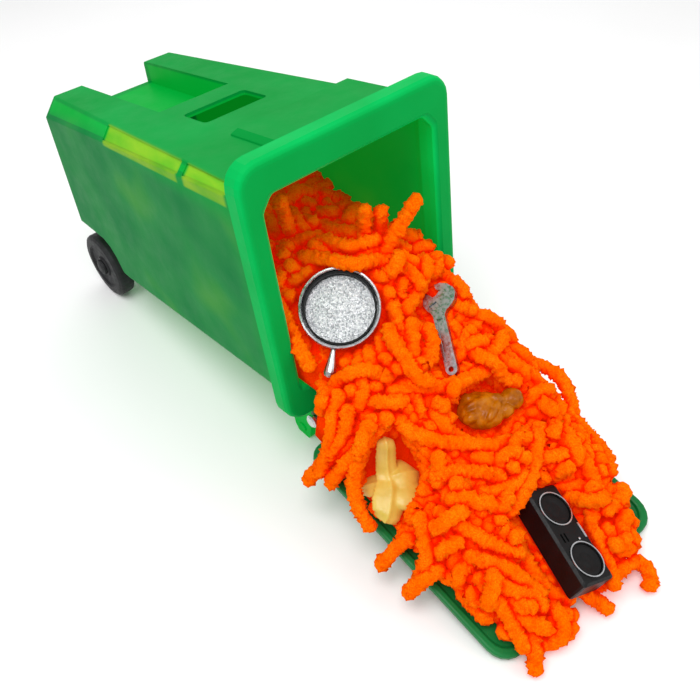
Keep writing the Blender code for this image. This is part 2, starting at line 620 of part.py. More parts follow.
def make_wrench():
    place = frame(WRENCH_AT, WRENCH_RUN, WRENCH_FACE)
    fixed_jaw = [(-7.1, -1.9), (-7.3, 0.5), (-6.3, 3.3), (-4.1, 5.6), (-1.9, 6.1), (0.9, 5.4), (2.8, 3.7), (4.4, 1.5), (6.2, 0.6)]
    handle_end = [(28.0, 2.4), (29.6, 2.1), (30.7, 0.6), (30.6, -0.6), (29.9, -1.7), (28.4, -2.3)]
    loose_jaw = [(5.7, -4.2), (4.3, -4.9), (2.8, -6.3), (0.4, -7.5), (-1.8, -7.3), (-3.0, -6.4), (-4.1, -6.6), (-4.4, -5.6),
                 (-2.0, -3.2), (-2.4, -1.9), (-4.2, 0.0), (-5.1, -1.5)]
    outline = [*fixed_jaw, *handle_end, *loose_jaw]
    wrench = add("wrench", *loft([[place(a, b, h) for a, b in outline] for h in (-WRENCH_THICK / 2, WRENCH_THICK / 2)]), SILVER, wrench_pivot)
    hole = [[place(28.3 + 1.1 * math.cos(t), 1.1 * math.sin(t) - 0.1, h) for t in (math.pi * k / 6 for k in range(12))] for h in (-4, 4)]
    boolean(wrench, cutter("wrench_hole", *loft(hole), wrench_pivot), "DIFFERENCE")
    panel = [(7.5, -2.9), (7.5, -0.4), (25.0, 0.9), (25.0, -1.9)]
    boolean(wrench, cutter("wrench_panel", *loft([[place(a, b, h) for a, b in panel] for h in (1.0, 4.0)]), wrench_pivot), "DIFFERENCE")
    knurl = [(1.3, -5.3), (-0.2, -2.2), (2.5, -0.6), (3.6, -3.9)]
    boolean(wrench, cutter("wrench_window", *loft([[place(a, b, h) for a, b in knurl] for h in (0.6, 4.0)]), wrench_pivot), "DIFFERENCE")


def ellipsoid(place, a, b, h, ra, rb, rh, steps=(16, 10)):
    centre = place(a, b, h)
    return blob(centre, place(a + ra, b, h) - centre, place(a, b + rb, h) - centre, place(a, b, h + rh) - centre, steps)


def make_lump():
    place = frame(LUMP_AT, LUMP_RUN, LUMP_FACE)
    lump = add("brown_lump", *ellipsoid(place, 0, 0, 0, 10.2, 8.4, 6.0, (20, 12)), BROWN, lump_pivot, 180)
    lobe = cutter("brown_lobe", *ellipsoid(place, 12.2, 3.8, 0.4, 4.9, 4.6, 4.2), lump_pivot)
    boolean(lump, lobe, "UNION")


def strap(route, widths, thick):
    """A flat band with rounded edges along (u, y, w) points in the lid frame."""
    points = [in_lid(*p) for p in route]
    up = in_lid(0, 0, 1) - in_lid(0, 0, 0)
    rings = []
    for i, p in enumerate(points):
        run = (points[min(i + 1, len(points) - 1)] - points[max(i - 1, 0)]).normalized()
        side = run.cross(up).normalized()
        out = side.cross(run).normalized()
        rings.append([p + (side * widths[i] * math.cos(t) + out * thick * math.sin(t)) * MM
                      for t in (2 * math.pi * k / 12 for k in range(12))])
    return loft(rings)


def make_peel():
    upright = ((24.6, -30.6, 24.0), (26.2, -31.2, 21.0), (29.5, -32.4, 16.4), (33.5, -34.2, 13.6), (38.5, -38.2, 12.8),
               (43.5, -41.6, 11.6), (45.6, -43.0, 10.6))
    peel = add("banana_peel", *strap(upright, (2.4, 4.2, 4.8, 5.2, 5.8, 5.0, 2.6), 1.5), YELLOW, peel_pivot, 180)
    lying = ((27.4, -43.6, 6.6), (29.4, -40.6, 8.6), (32.0, -36.2, 11.8), (34.5, -30.0, 13.6), (36.6, -25.4, 12.8), (37.8, -23.0, 11.4))
    boolean(peel, cutter("peel_lying", *strap(lying, (3.0, 5.2, 5.4, 6.0, 5.2, 2.8), 1.7), peel_pivot), "UNION")


def make_radio():
    place = frame(RADIO_AT, RADIO_RUN, RADIO_FACE)
    la, lb = RADIO_HALF
    rings = []
    for h, inset in ((-RADIO_DEPTH, 1.0), (1.0 - RADIO_DEPTH, 0.0), (-0.9, 0.0), (0.0, 0.9)):
        outline = rounded([(-la + inset, -lb + inset, 1.2), (la - inset, -lb + inset, 1.2), (la - inset, lb - inset, 1.2), (-la + inset, lb - inset, 1.2)], 2)
        rings.append([place(a, b, h) for a, b in outline])
    body = add("radio_body", *loft(rings), BLACK, radio_pivot)
    face = (place(0, 0, 1) - place(0, 0, 0)).normalized()
    for name, a in zip("ab", SPEAKER_A):
        at = place(a, SPEAKER_B, 0.0)
        well = cutter(f"speaker_well_{name}", *loft(turned([(6.2, -0.9), (6.2, 2.0)], at, face, 32)), radio_pivot)
        boolean(body, well, "DIFFERENCE")
        ring = [(SPEAKER_R - 0.45, 0.12), (SPEAKER_R, 0.12), (SPEAKER_R, 0.5), (SPEAKER_R - 0.45, 0.5)]
        add(f"speaker_ring_{name}", *ring_solid(ring, at, face, 32), STEEL, radio_pivot)
        cone = [(0.3, -0.78), (5.9, -0.78), (5.9, -0.2), (4.9, -0.1), (3.0, -0.5), (0.3, -0.35)]
        add(f"speaker_cone_{name}", *loft(turned(cone, at, face, 28)), BLACK, radio_pivot)
    bar = [(-2.6, 5.5), (3.4, 5.5), (3.4, 6.3), (-2.6, 6.3)]
    add("dial_bar", *loft([[place(a, b, h) for a, b in bar] for h in (0.12, 0.5)]), STEEL, radio_pivot)
    dot = loft(turned([(0.45, 0.12), (0.45, 0.4), (0.2, 0.5)], place(3.1, 2.5, 0), face, 12))
    add("dial_dot", *dot, STEEL, radio_pivot)
    slots = [(-0.4, -4.8), (3.0, -4.8), (3.0, -4.0), (-0.4, -4.0)]
    for k in range(2):
        cut = loft([[place(a, b + 1.7 * k, h) for a, b in slots] for h in (-0.6, 1.0)])
        boolean(body, cutter(f"radio_slot_{k}", *cut, radio_pivot), "DIFFERENCE")


make_body()
make_rods()
for wheel_side, wheel_sign in (("left", -1), ("right", 1)):
    make_wheel(wheel_side, wheel_sign)
make_lid()
make_lid_bed()
make_bin_bed()
for stem_name, stem_route in LOOSE_STEMS.items():
    stem(stem_name, stem_route, lid_pivot)
make_magnifier()
make_wrench()
make_lump()
make_peel()
make_radio()
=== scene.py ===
"""The looks of the toy wheelie bin.

Plastics and metals go on the CAD nodes. The chenille stems, the brown lump and
the banana peel are built here in place of their plain CAD solids.
"""

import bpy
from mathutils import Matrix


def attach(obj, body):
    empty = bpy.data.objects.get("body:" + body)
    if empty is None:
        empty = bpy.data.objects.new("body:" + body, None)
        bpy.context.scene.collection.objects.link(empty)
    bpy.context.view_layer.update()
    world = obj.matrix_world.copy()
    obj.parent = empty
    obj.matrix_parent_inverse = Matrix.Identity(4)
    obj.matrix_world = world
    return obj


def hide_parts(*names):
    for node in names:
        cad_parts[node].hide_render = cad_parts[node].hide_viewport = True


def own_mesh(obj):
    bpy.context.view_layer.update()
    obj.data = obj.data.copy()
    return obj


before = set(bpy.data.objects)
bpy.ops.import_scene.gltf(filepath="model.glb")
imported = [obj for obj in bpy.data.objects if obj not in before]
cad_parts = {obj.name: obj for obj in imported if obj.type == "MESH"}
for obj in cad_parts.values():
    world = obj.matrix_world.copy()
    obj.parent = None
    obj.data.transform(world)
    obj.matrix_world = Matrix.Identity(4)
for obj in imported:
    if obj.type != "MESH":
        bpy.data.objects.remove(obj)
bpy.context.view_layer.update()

import math

import bpy
import numpy as np
from mathutils import Matrix, Vector, kdtree, noise

MM = 0.001
rng = np.random.default_rng(11)

# ------------------------------------------------------------------ frames, in millimetres
SHIFT_X = 32.8
RIM_LOW_Z = 38.2
RIM_LEAN = math.radians(4.51)
LID_EDGE_X, LID_EDGE_Z = 7.3, 28.87
LID_SLOPE = math.radians(13.49)
LC, LS = math.cos(LID_SLOPE), math.sin(LID_SLOPE)
BC, BS = math.cos(RIM_LEAN), math.sin(RIM_LEAN)


def lid_to_world(p):
    """(u, y, w) rows in the lid frame to world rows, in mm."""
    p = np.asarray(p, float)
    u, y, w = p[..., 0], p[..., 1], p[..., 2]
    return np.stack([LID_EDGE_X + u * LC + w * LS + SHIFT_X, y, LID_EDGE_Z - u * LS + w * LC], -1)


def world_to_lid(p):
    p = np.asarray(p, float)
    x, y, z = p[..., 0] - SHIFT_X - LID_EDGE_X, p[..., 1], p[..., 2] - LID_EDGE_Z
    return np.stack([x * LC - z * LS, y, x * LS + z * LC], -1)


def bin_to_world(p):
    """(x, y, z) rows in the bin frame to world rows: x out of the mouth, z to the front panel."""
    p = np.asarray(p, float)
    x, y, z = p[..., 0], p[..., 1], p[..., 2]
    return np.stack([x * BC - z * BS + SHIFT_X, y, RIM_LOW_Z + x * BS + z * BC], -1)


def world_to_bin(p):
    p = np.asarray(p, float)
    x, y, z = p[..., 0] - SHIFT_X, p[..., 1], p[..., 2] - RIM_LOW_Z
    return np.stack([x * BC + z * BS, y, -x * BS + z * BC], -1)


def lid_direction(u, y, w):
    """A world direction from its parts along the lid frame's axes."""
    return tuple((lid_to_world((u, y, w)) - lid_to_world((0, 0, 0))).tolist())


def lid_point(u, y, w):
    """A world point in metres from lid-frame millimetres."""
    return tuple(lid_to_world((u, y, w)) * MM)


class Spot:
    """A miniature's own frame: a along its run, h along its face."""

    def __init__(self, at, run, face):
        self.at = np.array([at[0] + SHIFT_X, at[1], at[2]])
        self.h = np.array(face, float) / np.linalg.norm(face)
        run = np.array(run, float)
        run -= self.h * run.dot(self.h)
        self.a = run / np.linalg.norm(run)
        self.b = np.cross(self.h, self.a)

    def local(self, p):
        d = np.asarray(p) - self.at
        return np.stack([d @ self.a, d @ self.b, d @ self.h], -1)

    def world(self, q):
        q = np.asarray(q, float)
        return self.at + q[..., :1] * self.a + q[..., 1:2] * self.b + q[..., 2:3] * self.h


MAGNIFIER = Spot((-2.3, -15.0, 79.9), (0.43, -0.64, -0.64), (0.5, -0.42, 0.76))
WRENCH = Spot((15.8, 21.8, 71.7), (0.71, -0.53, -0.47), (0.09, -0.6, 0.8))
LUMP = Spot((50.7, 9.1, 45.9), (0.56, 0.82, -0.1), (0.25, -0.1, 0.96))
RADIO = Spot((100.4, 0.3, 26.1), (0.93, -0.29, -0.226), (0.31, 0.29, 0.906))


# ------------------------------------------------------------------ materials
class Look:
    """A Principled material with its colour, roughness and bump from noise."""

    def __init__(self, name, **sockets):
        self.material = bpy.data.materials.new(name)
        self.material.use_nodes = True
        self.tree = self.material.node_tree
        self.shader = self.tree.nodes["Principled BSDF"]
        for key, value in sockets.items():
            self.shader.inputs[key.replace("_", " ")].default_value = value
        self.place = self.node("ShaderNodeTexCoord").outputs["Object"]

    def node(self, kind, **settings):
        made = self.tree.nodes.new(kind)
        for key, value in settings.items():
            setattr(made, key, value)
        return made

    def link(self, a, b):
        self.tree.links.new(a, b)

    def noise(self, size, detail=3.0, rough=0.5, stretch=(1, 1, 1), turn=(0, 0, 0)):
        """Noise whose features are about `size` mm."""
        mapping = self.node("ShaderNodeMapping")
        mapping.inputs["Scale"].default_value = [1 / (size * MM * s) for s in stretch]
        mapping.inputs["Rotation"].default_value = turn
        self.link(self.place, mapping.inputs["Vector"])
        made = self.node("ShaderNodeTexNoise")
        made.inputs["Scale"].default_value = 1.0
        made.inputs["Detail"].default_value = detail
        made.inputs["Roughness"].default_value = rough
        self.link(mapping.outputs["Vector"], made.inputs["Vector"])
        return made.outputs["Fac"]

    def ramp(self, value, *stops):
        """Colours or greys by position; a stop is (position, colour or number)."""
        made = self.node("ShaderNodeValToRGB")
        ramp = made.color_ramp
        while len(ramp.elements) < len(stops):
            ramp.elements.new(0.5)
        for element, (at, colour) in zip(ramp.elements, stops):
            element.position = at
            element.color = (*colour, 1.0) if isinstance(colour, tuple) else (colour, colour, colour, 1.0)
        self.link(value, made.inputs["Fac"])
        return made.outputs["Color"]

    def maths(self, operation, a, b=0.0):
        made = self.node("ShaderNodeMath", operation=operation)
        for socket, value in zip(made.inputs, (a, b)):
            if isinstance(value, (int, float)):
                socket.default_value = value
            else:
                self.link(value, socket)
        return made.outputs["Value"]

    def band(self, value, low, high, soft):
        """1 where value lies between low and high, with soft ends."""
        made = []
        for at, sign in ((low, 1), (high, -1)):
            step = self.node("ShaderNodeMapRange", interpolation_type="SMOOTHSTEP")
            step.inputs["From Min"].default_value = at - sign * soft
            step.inputs["From Max"].default_value = at + sign * soft
            self.link(value, step.inputs["Value"])
            made.append(step.outputs["Result"])
        return self.maths("MULTIPLY", *made)

    def blend(self, share, a, b):
        made = self.node("ShaderNodeMix", data_type="RGBA")
        self.link(share, made.inputs["Factor"])
        for socket, value in ((made.inputs[6], a), (made.inputs[7], b)):
            if isinstance(value, tuple):
                socket.default_value = (*value, 1.0)
            else:
                self.link(value, socket)
        return made.outputs[2]

    def set(self, socket, value):
        self.link(value, self.shader.inputs[socket])
        return self

    def bump(self, *heights):
        """Bumps of (height source, distance in mm), one over the other."""
        last = None
        for source, reach in heights:
            made = self.node("ShaderNodeBump")
            made.inputs["Strength"].default_value = 1.0
            made.inputs["Distance"].default_value = reach * MM
            self.link(source, made.inputs["Height"])
            if last:
                self.link(last, made.inputs["Normal"])
            last = made.outputs["Normal"]
        self.link(last, self.shader.inputs["Normal"])
        return self

    def shade(self, reach):
        """1 in the open, towards 0 in corners narrower than `reach` mm."""
        made = self.node("ShaderNodeAmbientOcclusion", samples=4)
        made.inputs["Distance"].default_value = reach * MM
        return made.outputs["AO"]

    def axes(self, turn=0.0, at=(0.0, 0.0, 0.0)):
        """x, y, z in mm of a frame turned about Y and centred at a world point in mm."""
        made = self.node("ShaderNodeMapping", vector_type="POINT")
        rotation = Matrix.Rotation(turn, 3, "Y")
        offset = rotation @ Vector(at)
        made.inputs["Rotation"].default_value = (0, turn, 0)
        made.inputs["Scale"].default_value = (1 / MM,) * 3
        made.inputs["Location"].default_value = [-c for c in offset]
        self.link(self.place, made.inputs["Vector"])
        parts = self.node("ShaderNodeSeparateXYZ")
        self.link(made.outputs["Vector"], parts.inputs["Vector"])
        return parts.outputs


def bin_plastic():
    """Translucent green; the stems inside show through the thin parts as olive."""
    look = Look(
        "bin_green",
        Roughness=0.45,
        Transmission_Weight=0.04,
        IOR=1.46,
        Specular_IOR_Level=0.03,
        # painted glow: a faint emission over the whole bin
        Emission_Strength=0.26,
    )
    x, y, z = look.axes(RIM_LEAN, (SHIFT_X, 0.0, RIM_LOW_Z))[:3]
    side = look.maths("ABSOLUTE", y)
    green = look.ramp(look.noise(46.0, 2.0), (0.3, (0.0, 0.22, 0.030)), (0.75, (0.0, 0.28, 0.046)))
    # painted shade on the side walls: noise patches run from the dark shadow stop to olive where the stems lean on
    # them
    wall = look.maths("MULTIPLY", look.band(x, -190.0, -13.0, 8.0), look.band(z, -10.0, 88.0, 5.0))
    wall = look.maths("MULTIPLY", wall, look.band(side, 37.0, 60.0, 1.5))
    shadow, plain, olive = (0.002, 0.14, 0.036), (0.010, 0.18, 0.042), (0.05, 0.24, 0.032)
    dull = look.ramp(look.noise(38.0, 1.5), (0.35, shadow), (0.56, plain), (0.75, olive))
    colour = look.blend(wall, green, dull)
    # the two long windows in each upper corner, thinner and yellower
    top = look.maths("ADD", look.maths("MULTIPLY", x, 0.0801), 102.44)
    below = look.maths("SUBTRACT", top, z)
    half = look.maths("ADD", look.maths("MULTIPLY", x, 0.0494), 41.0)
    across = look.maths("SUBTRACT", side, half)
    strip = look.maths("MULTIPLY", look.band(below, 0.4, 7.6, 0.5), look.band(across, -0.8, 8.0, 0.5))
    spans = look.maths("MAXIMUM", look.band(x, -113.0, -48.0, 1.2), look.band(x, -42.6, -13.6, 1.2))
    strip = look.maths("MULTIPLY", strip, spans)
    straw = look.ramp(look.noise(7.0, 3.0, stretch=(3, 1, 1)), (0.3, (0.10, 0.33, 0.01)), (0.7, (0.27, 0.42, 0.015)))
    colour = look.blend(strip, colour, straw)
    # the rim's outer side is lighter and bluer, its inside darker
    edge = look.band(x, -9.6, -0.3, 0.8)
    bright = look.ramp(look.noise(30.0), (0.3, (0.0, 0.34, 0.062)), (0.7, (0.0, 0.43, 0.09)))
    colour = look.blend(edge, colour, bright)
    look.set("Base Color", colour)
    # painted glow: the whole bin emits a faint green, strongest in the hollow, standing in for light carried inside
    # the translucent wall
    inner_side = look.maths("ADD", look.maths("MULTIPLY", x, 0.0294), 42.9)
    hollow = look.maths("MULTIPLY", look.band(x, -178.0, -1.2, 0.8), look.maths("LESS_THAN", side, inner_side))
    hollow = look.maths("MULTIPLY", hollow, look.band(below, 1.2, 200.0, 0.4))
    look.set("Emission Color", look.blend(hollow, (0.0, 0.20, 0.03), (0.0, 0.62, 0.03)))
    look.set("Roughness", look.ramp(look.noise(9.0, 4.0), (0.3, 0.38), (0.7, 0.52)))
    look.bump((look.noise(2.4, 3.0), 0.05), (look.noise(0.35, 2.0), 0.012))
    return look.material


def lid_plastic():
    look = Look("lid_green", Roughness=0.42, Transmission_Weight=0.05, IOR=1.46, Specular_IOR_Level=0.25)
    look.set("Base Color", look.ramp(look.noise(34.0), (0.3, (0.0, 0.15, 0.028)), (0.7, (0.001, 0.21, 0.045))))
    look.set("Roughness", look.ramp(look.noise(8.0, 4.0), (0.3, 0.34), (0.7, 0.5)))
    look.bump((look.noise(2.0, 3.0), 0.05), (look.noise(0.3, 2.0), 0.015))
    return look.material


def black_plastic(name, tone, rough, grain):
    look = Look(name, Roughness=rough, Specular_IOR_Level=0.22)
    low, high = (tone * 0.75,) * 3, (tone * 1.2, tone * 1.25, tone * 1.4)
    look.set("Base Color", look.ramp(look.noise(5.0, 4.0), (0.3, low), (0.7, high)))
    look.set("Roughness", look.ramp(look.noise(2.2, 3.0), (0.3, rough - 0.08), (0.7, rough + 0.1)))
    look.bump((look.noise(grain, 3.0), 0.06))
    return look.material


def metal(name, tone, rough, wear=0.5, corner=1.4):
    """Cast or plated metal, with painted shade darkening corners narrower than `corner` mm."""
    look = Look(name, Metallic=1.0, Roughness=rough)
    dull = tuple(c * 0.92 for c in tone)
    corner_shade = tuple(c * 0.12 for c in tone)
    open_tone = look.ramp(look.noise(3.2, 4.0), (0.32, dull), (0.62, tone))
    # painted shade: narrow corners found by ambient occlusion blend to a near-black copy of the tone
    open_share = look.ramp(look.shade(corner), (0.35, 0.0), (0.9, 1.0))
    look.set("Base Color", look.blend(open_share, corner_shade, open_tone))
    look.set("Roughness", look.ramp(look.noise(1.3, 4.0), (0.3, rough - 0.08), (0.75, rough + 0.16)))
    look.bump((look.noise(2.6, 2.0), 0.05 * wear), (look.noise(0.25, 3.0), 0.02 * wear))
    return look.material


def glitter():
    """Fine silver specks, each with a tone and a tilt of its own."""
    look = Look("glitter_disc", Roughness=0.42, Metallic=0.35)
    cells = look.node("ShaderNodeTexVoronoi", feature="F1")
    cells.inputs["Scale"].default_value = 1 / (0.55 * MM)
    look.link(look.place, cells.inputs["Vector"])
    tone = look.node("ShaderNodeSeparateColor")
    look.link(cells.outputs["Color"], tone.inputs["Color"])
    dark, mid, light = (0.34, 0.35, 0.38), (0.62, 0.63, 0.67), (0.98, 0.98, 1.0)
    look.set("Base Color", look.ramp(tone.outputs["Red"], (0.0, dark), (0.35, mid), (1.0, light)))
    look.set("Roughness", look.ramp(tone.outputs["Green"], (0.0, 0.25), (1.0, 0.6)))
    look.bump((cells.outputs["Distance"], 0.25), (tone.outputs["Blue"], 0.12))
    return look.material


def chenille(name, low, high, deep, glow):
    """Matt fluffy pile: low and high tint its patches, deep is painted shade lying between the tufts, and glow is a
    painted red glow.
    """
    look = Look(
        name,
        Roughness=0.95,
        Sheen_Weight=0.06,
        Sheen_Roughness=0.5,
        Specular_IOR_Level=0.0,
        Emission_Strength=glow,
    )
    # painted glow: a red emission lifts the pile's shade
    look.shader.inputs["Emission Color"].default_value = (1.0, 0.03, 0.0, 1.0)
    look.shader.inputs["Sheen Tint"].default_value = (1.0, 0.32, 0.0, 1.0)
    tufts = look.noise(0.55, 3.0, 0.65)
    patches = look.ramp(look.noise(7.0, 2.0), (0.35, low), (0.65, high))
    # painted shade: the low spots of the tufts take the deep colour
    colour = look.blend(look.ramp(tufts, (0.34, 0.0), (0.6, 1.0)), deep, patches)
    # painted shade: the narrow gaps between stems go red
    gap = look.ramp(look.shade(5.5), (0.38, 0.0), (0.8, 1.0))
    look.set("Base Color", look.blend(gap, (1.0, 0.015, 0.0), colour))
    look.bump((tufts, 0.5), (look.noise(0.22, 2.0), 0.2))
    return look.material


def brown_gloss():
    look = Look("caramel_gloss", Roughness=0.3, Specular_IOR_Level=0.15, Coat_Weight=0.04, Coat_Roughness=0.08)
    dark, mid, light = (0.27, 0.065, 0.0), (0.40, 0.11, 0.0), (0.55, 0.18, 0.004)
    look.set("Base Color", look.ramp(look.noise(4.0, 3.0), (0.3, dark), (0.5, mid), (0.75, light)))
    look.set("Roughness", look.ramp(look.noise(1.4, 3.0), (0.3, 0.12), (0.7, 0.3)))
    look.bump((look.noise(1.6, 3.0), 0.18))
    return look.material


def banana_yellow():
    look = Look("banana_cream", Roughness=0.38, Coat_Weight=0.15, Subsurface_Weight=0.0)
    dark, mid, light = (0.58, 0.41, 0.05), (0.66, 0.49, 0.08), (0.72, 0.56, 0.12)
    look.set("Base Color", look.ramp(look.noise(6.0, 3.0), (0.3, dark), (0.55, mid), (0.8, light)))
    look.set("Roughness", look.ramp(look.noise(2.0, 3.0), (0.3, 0.3), (0.7, 0.5)))
    look.bump((look.noise(1.8, 2.0), 0.10), (look.noise(0.4, 2.0), 0.02))
    return look.material


GREEN, LID_GREEN = bin_plastic(), lid_plastic()
TYRE = black_plastic("tyre_black", 0.016, 0.55, 0.5)
CASE = black_plastic("radio_black", 0.0035, 0.42, 0.9)
CONE = black_plastic("cone_black", 0.003, 0.6, 0.35)
STEEL = metal("bright_steel", (0.70, 0.71, 0.73), 0.25, 0.3)
CAST = metal("cast_silver", (0.40, 0.41, 0.43), 0.27, 0.1, 0.5)
RIM_CAST = metal("rim_silver", (0.50, 0.51, 0.53), 0.26, 0.6, 0.9)
# painted shade: the magnifier's shaded inner wall given as a black liner
SHADE_LINER = black_plastic("liner_painted_shade", 0.006, 0.5, 0.4)
GLITTER = glitter()
ORANGE = chenille("orange_chenille", (1.0, 0.18, 0.0), (1.0, 0.25, 0.003), (1.0, 0.09, 0.0), 0.17)
# painted shade: a darker red chenille for the pile's middle, which shows in the gaps between stems
SHADED_CHENILLE = chenille("painted_shade_chenille", (0.85, 0.03, 0.0), (1.0, 0.06, 0.0), (0.7, 0.012, 0.0), 0.22)
BROWN, YELLOW = brown_gloss(), banana_yellow()

FINISH = {
    "bin_body": GREEN, "handle_rod": GREEN, "lid": LID_GREEN, "hinge_rod": STEEL, "axle": STEEL,
    "hinge_cap_left": STEEL, "hinge_cap_right": STEEL, "axle_washer_left": STEEL, "axle_washer_right": STEEL,
    "handle_grip": TYRE, "wheel_left": TYRE, "wheel_right": TYRE, "hub_cap_left": TYRE, "hub_cap_right": TYRE,
    "magnifier_frame": RIM_CAST, "magnifier_liner": SHADE_LINER, "magnifier_disc": GLITTER, "wrench": CAST,
    "radio_body": CASE, "speaker_cone_a": CONE, "speaker_cone_b": CONE, "speaker_ring_a": STEEL,
    "speaker_ring_b": STEEL, "dial_bar": STEEL, "dial_dot": STEEL,
}  # fmt: skip
# edge rounding in mm
ROUNDING = {
    "bin_body": 0.5, "lid": 0.4, "wrench": 0.45, "radio_body": 0.3, "wheel_left": 0.25, "wheel_right": 0.25,
    "magnifier_frame": 0.2,
}  # fmt: skip
for node, look in FINISH.items():
    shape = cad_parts[node]
    for spare in shape.material_slots:
        spare.material = look
    if not shape.material_slots:
        shape.data.materials.append(look)
    if node in ROUNDING:
        flat = shape.modifiers.new("merge_flats", "DECIMATE")
        flat.decimate_type = "DISSOLVE"
        flat.angle_limit = math.radians(0.6)
        edge = shape.modifiers.new("round_edges", "BEVEL")
        edge.width = ROUNDING[node] * MM
        edge.segments = 3
        edge.limit_method = "ANGLE"
        edge.angle_limit = math.radians(28)
        edge.use_clamp_overlap = True
        edge.harden_normals = False
        shape.modifiers.new("even_normals", "WEIGHTED_NORMAL").keep_sharp = True


# ------------------------------------------------------------------ meshes
def piece(name, points, faces, look, body):
    """A shown piece from world points in metres."""
    mesh = bpy.data.meshes.new(name)
    mesh.from_pydata([tuple(p) for p in np.asarray(points).tolist()], [], faces)
    mesh.materials.append(look)
    mesh.shade_smooth()
    mesh.update()
    made = bpy.data.objects.new(name, mesh)
    bpy.context.scene.collection.objects.link(made)
    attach(made, body)
    return made


def loft_faces(rings, size):
    """Faces of a closed tube over `rings` rings of `size` points each."""
    faces = []
    for r in range(rings - 1):
        for i in range(size):
            j = (i + 1) % size
            faces.append((r * size + i, r * size + j, (r + 1) * size + j, (r + 1) * size + i))
    faces.append(tuple(range(size))[::-1])
    faces.append(tuple(range((rings - 1) * size, rings * size)))
    return faces


def resample(route, spacing):
    """Points every `spacing` mm along a Catmull-Rom curve through the route."""
    route = np.asarray(route, float)
    ends = np.vstack([2 * route[0] - route[1], route, 2 * route[-1] - route[-2]])
    t = np.linspace(0, 1, 12, endpoint=False)[:, None]
    fine = []
    for p0, p1, p2, p3 in zip(ends, ends[1:], ends[2:], ends[3:]):
        square = 2 * p0 - 5 * p1 + 4 * p2 - p3
        cube = 3 * p1 - p0 - 3 * p2 + p3
        fine.append(0.5 * (2 * p1 + (p2 - p0) * t + square * t**2 + cube * t**3))
    fine = np.vstack([*fine, route[-1:]])
    run = np.concatenate([[0], np.cumsum(np.linalg.norm(np.diff(fine, axis=0), axis=1))])
    count = max(2, round(run[-1] / spacing))
    wanted = np.linspace(0, run[-1], count + 1)
    return np.stack([np.interp(wanted, run, fine[:, k]) for k in range(3)], 1)


# ------------------------------------------------------------------ the pile of stems
STEM_R = 2.75
LINK = 2.4  # spacing of the points along a stem while the pile settles
NEAR = 5.3  # stems' middles are pushed apart to this
TOP_U = (-175.0, -90.0, -60.0, -40.0, -20.0, 0.0, 12.0, 25.0, 40.0, 55.0, 75.0, 95.0, 108.0, 125.0)
TOP_W = (16.0, 40.0, 47.0, 51.0, 49.0, 43.5, 39.0, 33.0, 27.0, 23.0, 18.0, 13.0, 7.0, 2.5)


def top(u, y):
    """Height of the pile's surface over the lid plane."""
    side = np.minimum(1.25, np.abs(y) / 46.0)
    return np.interp(u, TOP_U, TOP_W) * (1 - 0.55 * side**4)


CORE_DROP = 10.0
# room kept round the miniatures: frame, length from and to, width from and to, underside
KEEP_OUT = (
    (MAGNIFIER, -16.0, 16.0, -16.0, 16.0, -4.4),
    (MAGNIFIER, 12.0, 27.0, -3.0, 3.0, -2.6),
    (WRENCH, -8.0, 31.0, -7.5, 6.0, -1.6),
    (LUMP, -11.0, 17.0, -9.0, 9.0, -5.0),
    (RADIO, -19.5, 19.5, -13.5, 7.8, -11.0),
)
# the same round the peel, in the lid frame: u, y, radius and underside
PEEL_ROOM = ((33.5, -33.5, 13.5, 6.5), (42.5, -42.5, 9.0, 4.0), (27.0, -26.5, 6.0, 12.0))


def under_miniatures(u, y, w):
    """Lowers a lid-frame height until it is clear of every miniature."""
    while w > 0.5:
        p = lid_to_world((u, y, w))
        clear = True
        for spot, a0, a1, b0, b1, bottom in KEEP_OUT:
            a, b, h = spot.local(p)
            if a0 - 2 < a < a1 + 2 and b0 - 2 < b < b1 + 2 and h > bottom - 2.0:
                clear = False
        for cu, cy, reach, under in PEEL_ROOM:
            if math.hypot(u - cu, y - cy) < reach and w > under - 2.5:
                clear = False
        if clear:
            break
        w -= 0.8
    return w


def span(u, beyond=0.0):
    """The pile's left and right edge on the lid, drawn in towards the free end."""
    past = np.maximum(0.0, u - 62.0)
    return -40.0 - beyond + 0.10 * past, 41.0 + beyond - 0.34 * past


def hollow(x):
    """The bin's inside at x of its own frame: half width, middle and floor, in mm."""
    base_x, taper_length, wall, rim_x = -181.1, 171.8, 2.1, -9.0
    t = np.clip((x - base_x) / taper_length, 0, 1)
    half = np.where(x < rim_x, 39.0 + 5.05 * t - wall, 39.0)
    middle = np.where(x < rim_x, 0.0, 1.5)
    low = np.where(x < rim_x, -1.65 + 13.65 * t + wall, 14.6)
    return half, middle, low


def core(u, y):
    """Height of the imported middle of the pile, which the loose stems lie on."""
    over = np.clip((np.abs(y) - 40.0) / 5.0, 0, 1) + np.clip((u - 101.0) / 5.0, 0, 1)
    return np.maximum(top(u, y) - CORE_DROP - 12 * over, -20.0)


